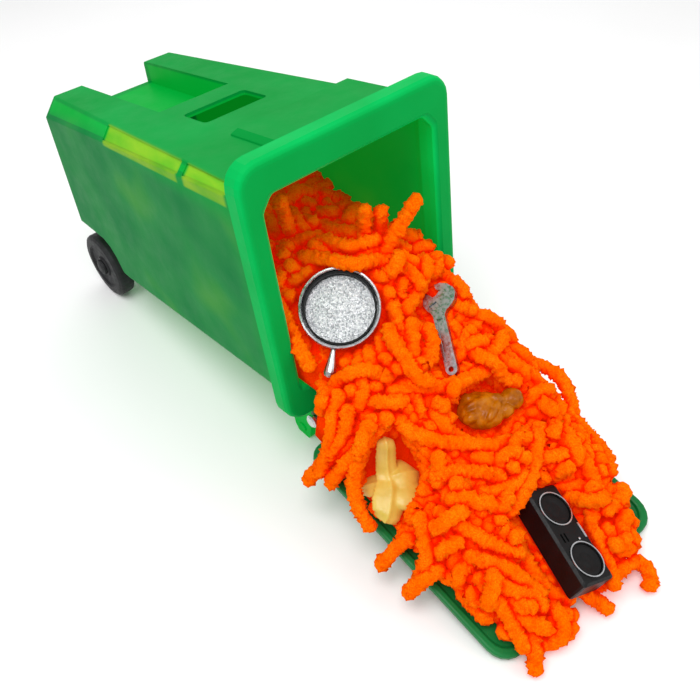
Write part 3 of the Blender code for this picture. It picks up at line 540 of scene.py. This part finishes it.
def limit(world):
    """Moves stem points out of the plastic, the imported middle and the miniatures."""
    p = world_to_lid(world)
    inside = world_to_bin(world)
    in_bin = inside[:, 0] < 1.0
    # over the lid
    over = (~in_bin) & (p[:, 0] > -3) & (p[:, 0] < 109) & (np.abs(p[:, 1]) < 47.5)
    p[over, 2] = np.maximum(p[over, 2], STEM_R + 0.1)
    left, right = span(p[:, 0], beyond=2.0)
    p[over, 1] = np.clip(p[:, 1], left, right)[over]
    floor = core(p[:, 0], p[:, 1])
    p[:, 2] = np.where(over | in_bin, np.maximum(p[:, 2], floor), p[:, 2])
    world = lid_to_world(p)
    # inside the bin
    inside = world_to_bin(world)
    half, middle, low = hollow(inside[:, 0])
    half = half - STEM_R - 0.3
    low = low + STEM_R + 0.3
    held = inside[:, 0] < 1.5
    inside[:, 1] = np.where(held, np.clip(inside[:, 1], middle - half, middle + half), inside[:, 1])
    inside[:, 2] = np.where(held, np.maximum(inside[:, 2], low), inside[:, 2])
    world = bin_to_world(inside)
    # round and under the miniatures
    for spot, a0, a1, b0, b1, bottom in KEEP_OUT:
        q = spot.local(world)
        ca, cb = (a0 + a1) / 2, (b0 + b1) / 2
        ra, rb = (a1 - a0) / 2 + STEM_R, (b1 - b0) / 2 + STEM_R
        if spot is RADIO:
            e = np.maximum(np.abs(q[:, 0] - ca) / ra, np.abs(q[:, 1] - cb) / rb)
        else:
            e = np.sqrt(((q[:, 0] - ca) / ra) ** 2 + ((q[:, 1] - cb) / rb) ** 2)
        hit = (e < 1) & (q[:, 2] > bottom - STEM_R) & (q[:, 2] < 40.0)
        down = hit & (q[:, 2] < bottom + 4.0)
        q[down, 2] = bottom - STEM_R
        out = hit & ~down
        grow = 1 / np.maximum(e[out], 0.3)
        q[out, 0] = ca + (q[out, 0] - ca) * np.minimum(grow, 1.6)
        q[out, 1] = cb + (q[out, 1] - cb) * np.minimum(grow, 1.6)
        world = np.where(hit[:, None], spot.world(q), world)
    p = world_to_lid(world)
    for cu, cy, reach, under in PEEL_ROOM:
        du, dy = p[:, 0] - cu, p[:, 1] - cy
        far = np.hypot(du, dy)
        hit = (far < reach) & (p[:, 2] > under)
        p[hit, 2] = np.where(p[hit, 2] < 13.0, under, p[hit, 2])
        out = hit & (p[:, 2] >= 13.0)
        grow = np.minimum(reach / np.maximum(far[out], 2.0), 2.0)
        p[out, 0] = cu + du[out] * grow
        p[out, 1] = cy + dy[out] * grow
    world = lid_to_world(p)
    world[:, 2] = np.maximum(world[:, 2], STEM_R)
    return world


PUSH_SHARE = 0.42  # how much of an overlap one round mends
SINK = 0.10  # how far the free stems drop in a round, in mm
MOST_MOVE = 1.2  # no point moves further in a round, in mm


def settle(paths, fixed, rounds):
    """Pushes crossing stems apart and lets them sink onto each other. Fixed ones stay."""
    sizes = [len(p) for p in paths]
    first = np.concatenate([[0], np.cumsum(sizes)])[:-1]
    points = np.vstack(paths)
    owner = np.repeat(np.arange(len(paths)), sizes)
    order = np.concatenate([np.arange(n) for n in sizes])
    weight = np.repeat(np.where(fixed, 0.0, 1.0), sizes)
    joined = np.ones(len(points) - 1, bool)
    joined[first[1:] - 1] = False
    a = np.nonzero(joined)[0]
    for step in range(rounds):
        if step % 3 == 0:
            tree = kdtree.KDTree(len(points))
            for i, p in enumerate(points.tolist()):
                tree.insert(p, i)
            tree.balance()
            found = []
            for i, p in enumerate(points.tolist()):
                found += [(i, j) for _, j, _ in tree.find_range(p, NEAR + 0.8) if j > i]
            pairs = np.array(found)
            i, j = pairs.T
            keep = (owner[i] != owner[j]) | (np.abs(order[i] - order[j]) > 4)
            pairs = pairs[keep]
        i, j = pairs.T
        gap = points[j] - points[i]
        length = np.maximum(np.linalg.norm(gap, axis=1), 1e-3)
        push = np.maximum(NEAR - length, 0) * PUSH_SHARE
        move = gap / length[:, None] * push[:, None]
        share = weight[i] + weight[j] + 1e-9
        shift = np.zeros_like(points)
        np.add.at(shift, i, -move * (weight[i] / share)[:, None])
        np.add.at(shift, j, move * (weight[j] / share)[:, None])
        shift[:, 2] -= SINK if step < rounds - 6 else 0.0
        size = np.maximum(np.linalg.norm(shift, axis=1), 1e-9)
        shift *= np.minimum(1, MOST_MOVE / size)[:, None]
        points = points + shift * weight[:, None]
        for _ in range(3):
            gap = points[a + 1] - points[a]
            length = np.maximum(np.linalg.norm(gap, axis=1), 1e-3)
            move = gap / length[:, None] * ((length - LINK) * 0.25)[:, None]
            shift = np.zeros_like(points)
            np.add.at(shift, a, move)
            np.add.at(shift, a + 1, -move)
            points = points + shift * weight[:, None]
        inner = a[1:][np.diff(a) == 1]
        smooth = np.zeros_like(points)
        smooth[inner] = 0.5 * (points[inner - 1] + points[inner + 1]) - points[inner]
        points = points + 0.12 * smooth * weight[:, None]
        limited = limit(points)
        points = np.where(weight[:, None] > 0, limited, points)
    return [points[f : f + n] for f, n in zip(first, sizes)]


def wander(u, y, heading, length, depth, wave=2.5, bounds=(-4.0, 103.0, -40.0, 42.0)):
    """A stem's middle that wanders over the pile, dipping in and out of it, as lid-frame points."""
    route = []
    turn = rng.normal(0, 0.05)
    phase, beat = rng.uniform(0, 6.28), rng.uniform(18.0, 34.0)
    tail = rng.uniform(-3.0, 5.0)
    count = int(length / LINK)
    for k in range(count + 1):
        s = k * LINK
        lift = wave * math.sin(phase + 6.28 * s / beat) + tail * (k / count) ** 3
        route.append((u, y, float(top(u, y)) - depth + lift))
        turn = 0.86 * turn + rng.normal(0, 0.045)
        if not (bounds[0] < u < bounds[1] and bounds[2] < y < bounds[3]):
            home = math.atan2((bounds[2] + bounds[3]) / 2 - y, (bounds[0] + bounds[1]) / 2 - u)
            bend = (home - heading + math.pi) % (2 * math.pi) - math.pi
            turn = max(-0.33, min(0.33, bend))
        heading += turn
        u += LINK * math.cos(heading)
        y += LINK * math.sin(heading)
    return route


# stems seen one by one in front of the others: (u, y, height over the pile's surface)
SEEN = (
    ((-48, -14, 3), (-37, -9, 6), (-28, -4, 9), (-26, 8, 5), (-17, 16, 4), (-8, 17, 3)),
    ((-40, -31, 2), (-27, -34, 2), (-18, -36, 2), (-10, -37, 2)),
    ((-2, 4, 3), (4, 0, 2), (9, -5, 2), (14, -12, 1)),
    ((3, 8, 3), (11, 4, 3), (16, -6, 2), (17, -14, 2), (14, -22, 1)),
    ((22, -24, 2), (29, -23, 2), (38, -17, 3), (45, -8, 3), (53, 2, 2)),
    ((46, -28, 2), (49, -21, 3), (55, -12, 3), (63, -4, 2)),
    ((40, -19, 3), (44, -22, 3), (50, -28, 2)),
    ((55, 24, 2), (62, 14, 3), (68, 4, 3), (71, -4, 2), (72, -14, 1)),
    ((15, -14, 3), (22, -7, 3), (26, 4, 3), (28, 14, 3), (28, 24, 2)),
    ((20, -37, 4), (26, -46, 3), (34, -49, 0), (43, -49, -2)),
    ((17, -30, 3), (21, -38, 3), (20, -45, 2), (18, -50, -4)),
    ((8, -35, 3), (13, -40, 3), (13, -45, 1), (10, -50, -8)),
    ((2, -34, 2), (6, -40, 3), (11, -45, 2), (13, -50, -4)),
    ((18, 28, 3), (27, 32, 3), (37, 38, 3), (47, 42, 2), (56, 43, 0)),
    ((58, 44, 1), (68, 44, 1), (78, 41, 2), (87, 34, 2)),
    ((54, -33, 2), (62, -31, 3), (70, -28, 3), (79, -23, 2), (86, -17, 1)),
    ((79, -36, 2), (90, -36, 2), (101, -36, 0), (109, -38, -1)),
    ((67, -49, -2), (64, -44, 1), (58, -41, 2), (51, -37, 2)),
    ((-22, 31, 2), (-8, 34, 2), (6, 34, 2), (18, 32, 1)),
    ((60, 32, 2), (70, 30, 2), (80, 27, 2), (88, 24, 1)),
    ((72, -35, 2), (82, -29, 3), (92, -24, 2), (101, -21, 1)),
    ((60, -18, 3), (64, -12, 3), (66, -2, 3), (62, 7, 2)),
    ((84, -34, 3), (92, -30, 3), (98, -24, 2), (104, -25, 1)),
    ((-56, 4, 2), (-44, 10, 4), (-34, 20, 3), (-26, 27, 1)),
    ((-12, 24, 1), (-14, 30, 5), (-18, 33, 10)),
)  # fmt: skip
# stems that stand up out of the pile, as lid-frame points
STANDING = (
    ((-24, 6, 46), (-27, 12, 53), (-29, 18, 60), (-30, 26, 68), (-31, 31, 73)),
    ((-36, 10, 50), (-38, 10.6, 58), (-39, 10.8, 65), (-40, 11, 71.5)),
    ((-34, 20, 44), (-36, 19, 52), (-37, 18.4, 60), (-38, 18, 68.5)),
    ((-58, -4, 40), (-60, -8, 52), (-62, -10, 62), (-64, -11, 70)),
    ((-70, -18, 40), (-74, -22, 50), (-78, -24, 60), (-81, -25, 69)),
    ((-20, 34, 30), (-12, 35, 38), (-4, 33, 44), (4, 29, 46)),
)
# stems over the lid's edges, which stand for nodes of their own
LOOSE = {
    "stem_hinge_side": ((17, -38, 26), (14, -43, 17), (10.5, -48, 6), (8.8, -51.5, -2.6), (8.2, -52.6, -5)),
    "stem_left_a": ((55, -41, 12), (53.6, -45.5, 8), (52.9, -49, 4.6), (52.5, -53, -2.7), (52.4, -53.6, -5)),
    "stem_left_b": ((70, -41, 12), (69, -46, 10), (68, -49.5, 7.5), (66.9, -52.8, 0.8), (66.4, -53.6, -2.5)),
    "stem_left_tip": ((96, -28, 9), (104, -31, 6), (109.4, -34.2, 3.9), (112.1, -36.2, 2.6), (116, -40.2, 1.6)),
    "stem_end_tip": ((100, -9, 8), (106, -6, 5.4), (113.7, -3.3, 3.6), (120, -1.6, 3.4)),
    "stem_end_curl": ((102, 3.9, 9.2), (108, 3.2, 6.6), (111.5, 5.4, 5.3), (112.1, 13.1, 4.4), (114.2, 20.4, 3.9),
                      (120.1, 19.9, 4.3), (124, 14.6, 4.2)),
    "stem_right_loop": ((24.6, 36.6, 22), (31.9, 45.6, 20), (44.3, 50, 20), (55.7, 47.6, 14.5), (60.5, 40.7, 12)),
}  # fmt: skip


CAMERA_AT = (210.686, -152.629, 274.075)
CAMERA_TURN = (142.007, 43.662, 5.010)  # yaw, pitch and roll in degrees
# what stays in view from the camera: middle and radius
IN_VIEW = [(MAGNIFIER.world((0, 0, 0)), 12.0), (MAGNIFIER.world((20, 0, 0)), 4.0)]
IN_VIEW += [(WRENCH.world((a, 0, 1)), r) for a, r in ((-4, 6.0), (3, 5.5), (10, 4.0), (18, 4.0), (27, 4.0))]
IN_VIEW += [(LUMP.world((a, b, 1)), r) for a, b, r in ((-5, 0, 7.0), (2, 0, 7.5), (11, 3, 5.0))]
IN_VIEW += [(RADIO.world((a, b, -4)), 7.0) for a in (-13, 0, 13) for b in (-5, 1)]
PEEL_IN_VIEW = (((34, -33, 13), 10.0), ((41, -41, 11), 7.0), ((26, -30, 21), 5.0), ((30, -39, 9), 4.5))
IN_VIEW += [(lid_to_world(p), r) for p, r in PEEL_IN_VIEW]


def in_view_parts(middle):
    """The stretches of a stem that leave the miniatures in view."""
    hidden = np.zeros(len(middle), bool)
    for centre, radius in IN_VIEW:
        sight = np.array(CAMERA_AT) - centre
        sight /= np.linalg.norm(sight)
        d = middle - centre
        along = d @ sight
        aside = np.linalg.norm(d - along[:, None] * sight, axis=1)
        hidden |= (along > 0.5) & (aside < radius + 1.2)
    parts, start = [], None
    for k in range(len(middle) + 1):
        if k < len(middle) and not hidden[k]:
            start = k if start is None else start
        elif start is not None:
            if k - start >= 4:
                parts.append(middle[start:k])
            start = None
    return parts


def grow_stems():
    """All stems as (middle in world mm, fixed, name or None)."""
    stems = []
    for route in SEEN:
        route = [(u, y, float(top(u, y)) + over) for u, y, over in route]
        stems.append((resample(lid_to_world(route), LINK), True, None))
    stems += [(resample(lid_to_world(r), LINK), True, None) for r in STANDING]
    stems += [(resample(lid_to_world(r), LINK), True, name) for name, r in LOOSE.items()]
    # count, depth, wave, range of length, of u and of y, heading and its spread
    layers = (
        (44, 7.5, 2.0, (35, 65), (0, 101), (-36, 39), 0.0, 3.1),
        (52, 3.4, 3.4, (28, 56), (2, 100), (-35, 39), 0.3, 1.7),
        (42, -1.0, 3.6, (20, 46), (6, 96), (-32, 37), 0.6, 2.0),
        (28, 7.0, 2.0, (40, 70), (-60, -5), (-34, 34), 0.0, 0.9),
        (34, 2.6, 4.0, (24, 50), (-60, 2), (-34, 34), 0.2, 1.2),
        (28, -1.5, 4.4, (18, 38), (-56, 0), (-32, 34), 0.4, 1.6),
        (34, 2.5, 4.0, (30, 56), (-128, -52), (-32, 32), 0.0, 3.1),
        (16, -2.0, 4.5, (20, 40), (-110, -48), (-31, 10), 0.4, 1.8),
    )
    for count, depth, wave, lengths, us, ys, heading, spread in layers:
        inner = us[1] < 10
        bounds = (-170.0, 16.0, -33.0, 34.0) if inner else (-2.0, 102.0, -36.5, 41.5)
        # spread evenly by a low-discrepancy sequence
        phase = rng.uniform(0, 1, 2)
        for k in range(count):
            fu, fy = (phase[0] + 0.7549 * k) % 1, (phase[1] + 0.5698 * k) % 1
            u, y = us[0] + (us[1] - us[0]) * fu, ys[0] + (ys[1] - ys[0]) * fy
            turn = heading + rng.uniform(-spread, spread) + (math.pi if rng.uniform() < 0.35 else 0)
            route = wander(u, y, turn, rng.uniform(*lengths), depth, wave, bounds)
            stems.append((lid_to_world(route), False, None))
    paths = [s[0] for s in stems]
    fixed = np.array([s[1] for s in stems])
    paths = settle(paths, fixed, 45)
    shown = []
    for path, (_, held, name) in zip(paths, stems):
        shown += [(part, held, name) for part in ([path] if held else in_view_parts(path))]
    return shown


SIDES = 16


def tube(middle, spacing=0.75):
    """Ragged chenille tube round a smoothed middle line: points in mm and faces."""
    line = resample(middle, spacing)
    count = len(line)
    run = np.gradient(line, axis=0)
    run /= np.linalg.norm(run, axis=1)[:, None]
    side = np.cross(run[0], [0.3, 0.2, 1.0])
    side /= np.linalg.norm(side)
    sides = [side]
    for k in range(1, count):
        side = side - run[k] * side.dot(run[k])
        side = side / np.linalg.norm(side)
        sides.append(side)
    side = np.array(sides)
    other = np.cross(run, side)
    s = np.arange(count) * spacing
    angle = 2 * np.pi * np.arange(SIDES) / SIDES
    spin, phase = rng.uniform(2.2, 3.2), rng.uniform(0, 6.28)
    radius = (STEM_R - 0.15) * (1 + 0.04 * np.sin(s / rng.uniform(3.0, 5.0) + phase))[:, None] * np.ones(SIDES)
    radius = radius + 0.12 * np.sin(2 * np.pi * s[:, None] / spin + angle + phase)
    # nubs of about 2 mm, then the fine ragged fibre ends
    nubs = rng.normal(0, 0.15, (count // 2 + 2, SIDES // 2))
    nubs = np.repeat(nubs, 2, axis=0)[:count]
    nubs = np.repeat(nubs, 2, axis=1)
    nubs = (nubs + np.roll(nubs, 1, axis=1) + np.roll(nubs, 1, axis=0)) / 2.2
    radius += nubs + rng.normal(0, 0.2, radius.shape)
    tuft = rng.uniform(0, 1, radius.shape) > 0.8
    radius += np.where(tuft, rng.uniform(0.3, 1.1, radius.shape), 0)
    reach = np.minimum(s, s[-1] - s)
    radius *= np.sqrt(np.clip(1 - (1 - np.minimum(reach / 2.4, 1)) ** 2, 0.06, 1))[:, None]
    at = line[:, None, :] + radius[..., None] * (
        np.cos(angle)[None, :, None] * side[:, None, :] + np.sin(angle)[None, :, None] * other[:, None, :]
    )
    at += run[:, None, :] * rng.normal(0, 0.14, radius.shape)[..., None]
    return at.reshape(-1, 3), loft_faces(count, SIDES)


def gather(name, stems, body):
    """One piece from several stems."""
    points, faces, base = [], [], 0
    for middle in stems:
        p, f = tube(middle)
        points.append(p)
        faces += [tuple(v + base for v in face) for face in f]
        base += len(p)
    return piece(name, np.vstack(points) * MM, faces, ORANGE, body)


def core_sheet(name, body, us, shares, floor_at, node):
    """A closed lumpy solid under the loose stems; shares run from its left edge to its right."""
    points, faces = [], []
    nu, ny = len(us), len(shares)
    for level in (0, 1):
        for u in us:
            low_y, high_y = span(u)
            for y in low_y + (high_y - low_y) * shares:
                height = float(core(u, y)) - 1.0 + 1.6 * noise.noise(Vector((u / 5.5, y / 5.5, 3.0)))
                low = floor_at(u, y)
                w = max(under_miniatures(u, y, height), low + 0.8) if level else low
                points.append(lid_to_world((u, y, w)) * MM)
    n = nu * ny
    for i in range(nu - 1):
        for j in range(ny - 1):
            q = (i * ny + j, i * ny + j + 1, (i + 1) * ny + j + 1, (i + 1) * ny + j)
            faces.append(q)
            faces.append(tuple(n + k for k in q[::-1]))
    rim = [i * ny for i in range(nu)] + [(nu - 1) * ny + j for j in range(1, ny)]
    rim += [i * ny + ny - 1 for i in range(nu - 2, -1, -1)] + [j for j in range(ny - 2, 0, -1)]
    for k, a in enumerate(rim):
        b = rim[(k + 1) % len(rim)]
        faces.append((a, b, n + b, n + a))
    # painted shade: the middle is coloured darker red
    made = piece(name, points, faces, SHADED_CHENILLE, body)
    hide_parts(node)
    return made


def bin_floor(u, y):
    """The lid-frame height of the bin's inner wall under (u, y)."""
    for w in np.arange(-60.0, 120.0, 1.0):
        x, _, z = world_to_bin(lid_to_world((u, y, w)))
        low = float(hollow(x)[2]) + 1.2
        if x < -128:  # over the wheel arch
            low = max(low, 25.0)
        if z > low:
            return float(w)
    return 0.0


def lid_floor(u, y):
    """The lid-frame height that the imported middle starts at: the lid, or the rim near the hinge."""
    return 0.25 if u > 5 else 4.8


def cut_at_mouth(middle):
    """A stem's stretches as (middle, whether it stays in the bin); they overlap, which hides the cut."""
    inside = world_to_bin(middle)[:, 0] < 0.0
    parts, start = [], 0
    for k in range(1, len(inside) + 1):
        if k == len(inside) or inside[k] != inside[start]:
            part = middle[max(0, start - 1) : k + 2]
            if len(part) >= 4:
                parts.append((part, bool(inside[start])))
            start = k
    return parts


def make_stems():
    """The loose stems in groups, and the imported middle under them."""
    groups = {}
    stretches = []
    for middle, _, name in grow_stems():
        if name:
            groups[name] = [middle]
        else:
            stretches += cut_at_mouth(middle)
    for middle, stays in stretches:
        p = world_to_lid(middle)
        if stays:
            key = "bin_deep" if world_to_bin(middle)[:, 0].max() < -3.0 else "bin_mouth"
        elif p[:, 0].max() > 93.0:
            key = "lid_end"
        elif np.abs(p[:, 1]).max() > 37.0:
            key = "lid_left" if p[np.abs(p[:, 1]).argmax(), 1] < 0 else "lid_right"
            key += "_corner" if p[:, 0].mean() < 28.0 else ""
        elif p[:, 0].min() < 12.0:
            key = "lid_hinge_side"
        else:
            key = "lid_middle"
        groups.setdefault(key, []).append(middle)
    made = {}
    for key, members in groups.items():
        body = "bin" if key.startswith("bin") else "lid"
        name = key + "_fluffy" if key in LOOSE else "chenille_" + key
        made[key] = gather(name, members, body)
        if key in LOOSE:
            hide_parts(key)
    inward = tuple(bin_to_world((-1.0, 0, 0)) - bin_to_world((0.0, 0, 0)))
    along = lid_direction(1.0, 0.0, 0.0)
    # the closing lid would swing its load into the mouth; each group's axis, anchor and share are listed, but the
    # groups only get meshes of their own here
    middle, raised = lid_point(50, 0, 0), lid_point(50, 0, 25)
    right_middle, near_hinge = lid_point(50, 3, 0), lid_point(30, 0, 0)
    deep = tuple(bin_to_world((-70.0, 0, 0)) * MM)
    left, right = lid_direction(0.0, -0.9, -0.43), (0, 1, 0)
    left_corner, right_corner = lid_direction(-0.7, -0.6, -0.39), lid_direction(-0.62, 0.78, 0.0)
    folds = {
        "lid_middle": (along, middle, 0.84),
        "lid_hinge_side": (along, middle, 0.50),
        "lid_left": (left, raised, 0.58),
        "lid_left_corner": (left_corner, raised, 0.55),
        "lid_right": (right, right_middle, 0.66),
        "lid_right_corner": (right_corner, middle, 0.58),
        "lid_end": (along, near_hinge, 0.62),
        "bin_mouth": (inward, deep, 0.68),
        "stem_hinge_side": (left_corner, raised, 0.56),
        "stem_left_a": (left, raised, 0.58),
        "stem_left_b": (left, raised, 0.58),
        "stem_right_loop": (right, right_middle, 0.66),
        "stem_left_tip": (along, near_hinge, 0.62),
        "stem_end_tip": (along, near_hinge, 0.62),
        "stem_end_curl": (along, near_hinge, 0.60),
    }
    for key, (axis, anchor, keep) in folds.items():
        if key in made:
            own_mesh(made[key])
    lid_us, lid_shares = np.arange(-2.0, 104.5, 2.2), np.linspace(0.0, 1.0, 38)
    lid_core = core_sheet("chenille_lid_core", "lid", lid_us, lid_shares, lid_floor, "stems_on_lid")
    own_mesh(lid_core)
    bin_us, bin_shares = np.arange(-160.0, -3.0, 3.0), np.linspace(0.06, 0.94, 30)
    bin_core = core_sheet("chenille_bin_core", "bin", bin_us, bin_shares, bin_floor, "stems_in_bin")
    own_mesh(bin_core)


# ------------------------------------------------------------------ miniatures with shapes of their own
VOXEL = 0.42  # in mm


def merged(name, solids, look, body, node, rounds, shape=None):
    """One skin over several closed solids, in world mm, remeshed and smoothed."""
    points, faces, base = [], [], 0
    for p, f in solids:
        points.append(np.asarray(p))
        faces += [tuple(v + base for v in face) for face in f]
        base += len(p)
    mesh = bpy.data.meshes.new(name + "_raw")
    mesh.from_pydata([tuple(p) for p in np.vstack(points).tolist()], [], faces)
    raw = bpy.data.objects.new(name + "_raw", mesh)
    bpy.context.scene.collection.objects.link(raw)
    skin = raw.modifiers.new("skin", "REMESH")
    skin.mode, skin.voxel_size = "VOXEL", VOXEL
    soften = raw.modifiers.new("soften", "SMOOTH")
    soften.iterations, soften.factor = rounds, 0.5
    bpy.context.view_layer.update()
    done = bpy.data.meshes.new_from_object(raw.evaluated_get(bpy.context.evaluated_depsgraph_get()))
    bpy.data.objects.remove(raw, do_unlink=True)
    at = np.array([v.co for v in done.vertices], float)
    if shape:
        normals = np.array([v.normal for v in done.vertices], float)
        at = shape(at, normals)
    made = piece(name, at * MM, [tuple(p.vertices) for p in done.polygons], look, body)
    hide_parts(node)


def ellipsoid(centre, along, across, up):
    around, down = 28, 18
    points = []
    for k in range(down + 1):
        polar = math.pi * max(0.02, min(0.98, k / down))
        for i in range(around):
            t = 2 * math.pi * i / around
            ring = along * math.cos(t) + across * math.sin(t)
            points.append(centre + up * math.cos(polar) + ring * math.sin(polar))
    return np.array(points), loft_faces(down + 1, around)


def make_lump():
    spot, solids = LUMP, []
    # a, b, h, half lengths and turn: a main mass of soft folds and a small lobe
    for a, b, h, ra, rb, rh, turn in (
        (-1.0, 0.0, -0.6, 9.6, 7.8, 5.2, 0.0),
        (-5.0, -3.2, 1.6, 5.0, 2.6, 2.9, 0.5),
        (-2.6, 1.4, 2.6, 6.2, 2.2, 2.7, 0.35),
        (2.6, -2.4, 2.4, 5.4, 2.0, 2.6, 0.9),
        (4.6, 3.0, 1.6, 4.2, 2.4, 2.8, -0.2),
        (-6.0, 3.6, 0.6, 3.0, 3.4, 3.0, 0.0),
        (11.6, 3.4, 0.2, 4.6, 4.3, 3.9, 0.0),
        (12.6, 2.2, 2.0, 2.6, 1.7, 1.9, 0.8),
        (8.2, -1.2, 0.0, 3.2, 3.0, 3.0, 0.3),
    ):
        c, s = math.cos(turn), math.sin(turn)
        along, across = spot.a * c + spot.b * s, spot.b * c - spot.a * s
        solids.append(ellipsoid(spot.world((a, b, h)), along * ra, across * rb, spot.h * rh))

    def fold(at, normals):
        q = spot.local(at)
        ridge = np.array([noise.noise(Vector((x / 2.6, y / 5.0, z / 4.0))) for x, y, z in q])
        return at + normals * (0.7 * (0.35 - np.abs(ridge)))[:, None]

    merged("caramel_lump", solids, BROWN, "lump", "brown_lump", 3, fold)


def strap(route, widths, thick, cup, turn=0.0):
    """A leaf of peel along lid-frame points, its edges curling down by cup and rolled by turn."""
    line = resample(route, 0.9)
    share = np.linspace(0, 1, len(line))
    wide = np.interp(share, np.linspace(0, 1, len(widths)), widths)
    rise = np.interp(share, np.linspace(0, 1, len(cup)), cup)
    run = np.gradient(line, axis=0)
    run /= np.linalg.norm(run, axis=1)[:, None]
    rings = []
    for k, p in enumerate(line):
        side = np.cross(run[k], [0, 0, 1.0])
        side /= np.linalg.norm(side)
        out = np.cross(side, run[k])
        roll = turn * share[k]
        side, out = side * math.cos(roll) + out * math.sin(roll), out * math.cos(roll) - side * math.sin(roll)
        ring = []
        for i in range(24):
            t = 2 * math.pi * i / 24
            x = math.cos(t)
            lip = thick * math.sin(t) * (1 - 0.35 * abs(x) ** 3)
            ridge = 0.7 * math.sin(t) * (abs(x) < 0.15)
            ring.append(p + side * wide[k] * x + out * (lip + ridge - rise[k] * x * x))
        rings.append(ring)
    return lid_to_world(np.array(rings).reshape(-1, 3)), loft_faces(len(line), 24)


def make_peel():
    standing = (
        (22.6, -28.6, 23.0), (23.6, -29.2, 24.8), (26.0, -30.4, 23.6),
        (28.2, -31.6, 19.0), (31.0, -33.2, 15.4), (35.0, -35.4, 13.4),
    )  # fmt: skip
    broad = ((33.0, -33.6, 14.0), (37.0, -36.6, 13.8), (40.6, -40.4, 12.8), (43.0, -43.4, 11.4), (43.6, -45.2, 9.4))
    back = ((33.0, -34.0, 13.6), (35.0, -29.2, 14.6), (36.6, -25.4, 13.4), (37.6, -22.8, 10.6))
    flat = ((33.6, -36.0, 13.0), (30.6, -38.8, 10.8), (28.6, -40.8, 8.4), (27.6, -42.4, 6.4))
    heart = (np.array([7.4, 1.5, -1.6]), np.array([-1.5, 6.8, 0]), np.array([0.6, 0, 2.8]))
    solids = [
        strap(standing, (3.0, 3.9, 4.2, 4.3, 4.6, 5.0), 0.75, (0.5, 1.0, 1.2, 1.0, 0.4)),
        strap(broad, (5.0, 6.6, 7.0, 6.2, 4.6), 0.9, (0.3, 1.2, 1.8, 1.6), 0.35),
        strap(back, (5.4, 7.4, 7.6, 4.6), 1.0, (0.4, 1.8, 2.4, 2.0)),
        ellipsoid(lid_to_world((40.4, -32.4, 11.4)), *heart),
        strap(flat, (5.0, 5.0, 4.6, 2.6), 0.7, (0.1, 0.4, 0.6, 0.4)),
    ]
    merged("banana_skin", solids, YELLOW, "peel", "banana_peel", 2)


# ------------------------------------------------------------------ stage
def make_stage():
    scene = bpy.context.scene
    scene.view_settings.view_transform = "Standard"
    scene.view_settings.look = "None"
    mesh = bpy.data.meshes.new("floor")
    # a sheet that sweeps up far away
    outline = [(-3.0, 0.0), (1.6, 0.0), (2.0, 0.02), (2.3, 0.1), (2.5, 0.3), (2.6, 0.7)]
    points, faces = [], []
    for x, z in outline:
        points += [(-x, -3.0, z), (-x, 3.0, z)]
    for k in range(len(outline) - 1):
        faces.append((2 * k, 2 * k + 1, 2 * k + 3, 2 * k + 2))
    mesh.from_pydata(points, [], faces)
    mesh.shade_smooth()
    look = Look("pale_floor", Roughness=0.8, Specular_IOR_Level=0.2)
    look.set("Base Color", look.ramp(look.noise(220.0), (0.3, (0.93, 0.93, 0.93)), (0.7, (0.96, 0.96, 0.96))))
    mesh.materials.append(look.material)
    floor = bpy.data.objects.new("floor", mesh)
    scene.collection.objects.link(floor)

    world = bpy.data.worlds.new("studio")
    scene.world = world
    world.use_nodes = True
    world.node_tree.nodes["Background"].inputs["Color"].default_value = (1.0, 1.0, 1.0, 1.0)
    world.node_tree.nodes["Background"].inputs["Strength"].default_value = 0.6

    for name, at, size, power in (
        ("key", (0.20, -0.30, 0.80), 0.5, 4.6),
        ("fill", (0.6, 0.35, 0.5), 0.6, 1.4),
        ("back", (-0.5, 0.3, 0.6), 0.5, 1.2),
    ):
        light = bpy.data.lights.new(name, "AREA")
        light.shape, light.size, light.energy = "SQUARE", size, power
        lamp = bpy.data.objects.new(name, light)
        lamp.location = at
        lamp.rotation_euler = (Vector((0.0, 0.0, 0.05)) - Vector(at)).to_track_quat("-Z", "Y").to_euler()
        scene.collection.objects.link(lamp)


def make_camera():
    yaw, pitch, roll = (math.radians(d) for d in CAMERA_TURN)
    forward = Vector((math.cos(pitch) * math.cos(yaw), math.cos(pitch) * math.sin(yaw), -math.sin(pitch)))
    right = forward.cross(Vector((0, 0, 1))).normalized()
    down = forward.cross(right)
    right, down = math.cos(roll) * right + math.sin(roll) * down, math.cos(roll) * down - math.sin(roll) * right
    data = bpy.data.cameras.new("camera")
    data.lens, data.sensor_width = 40.58, 36.0
    data.clip_start = 0.01
    camera = bpy.data.objects.new("camera", data)
    turn = Matrix((right, -down, -forward)).transposed().to_4x4()
    camera.matrix_world = Matrix.Translation(Vector(CAMERA_AT) * MM) @ turn
    bpy.context.scene.collection.objects.link(camera)
    bpy.context.scene.camera = camera


make_stage()
make_camera()
make_stems()
make_lump()
make_peel()
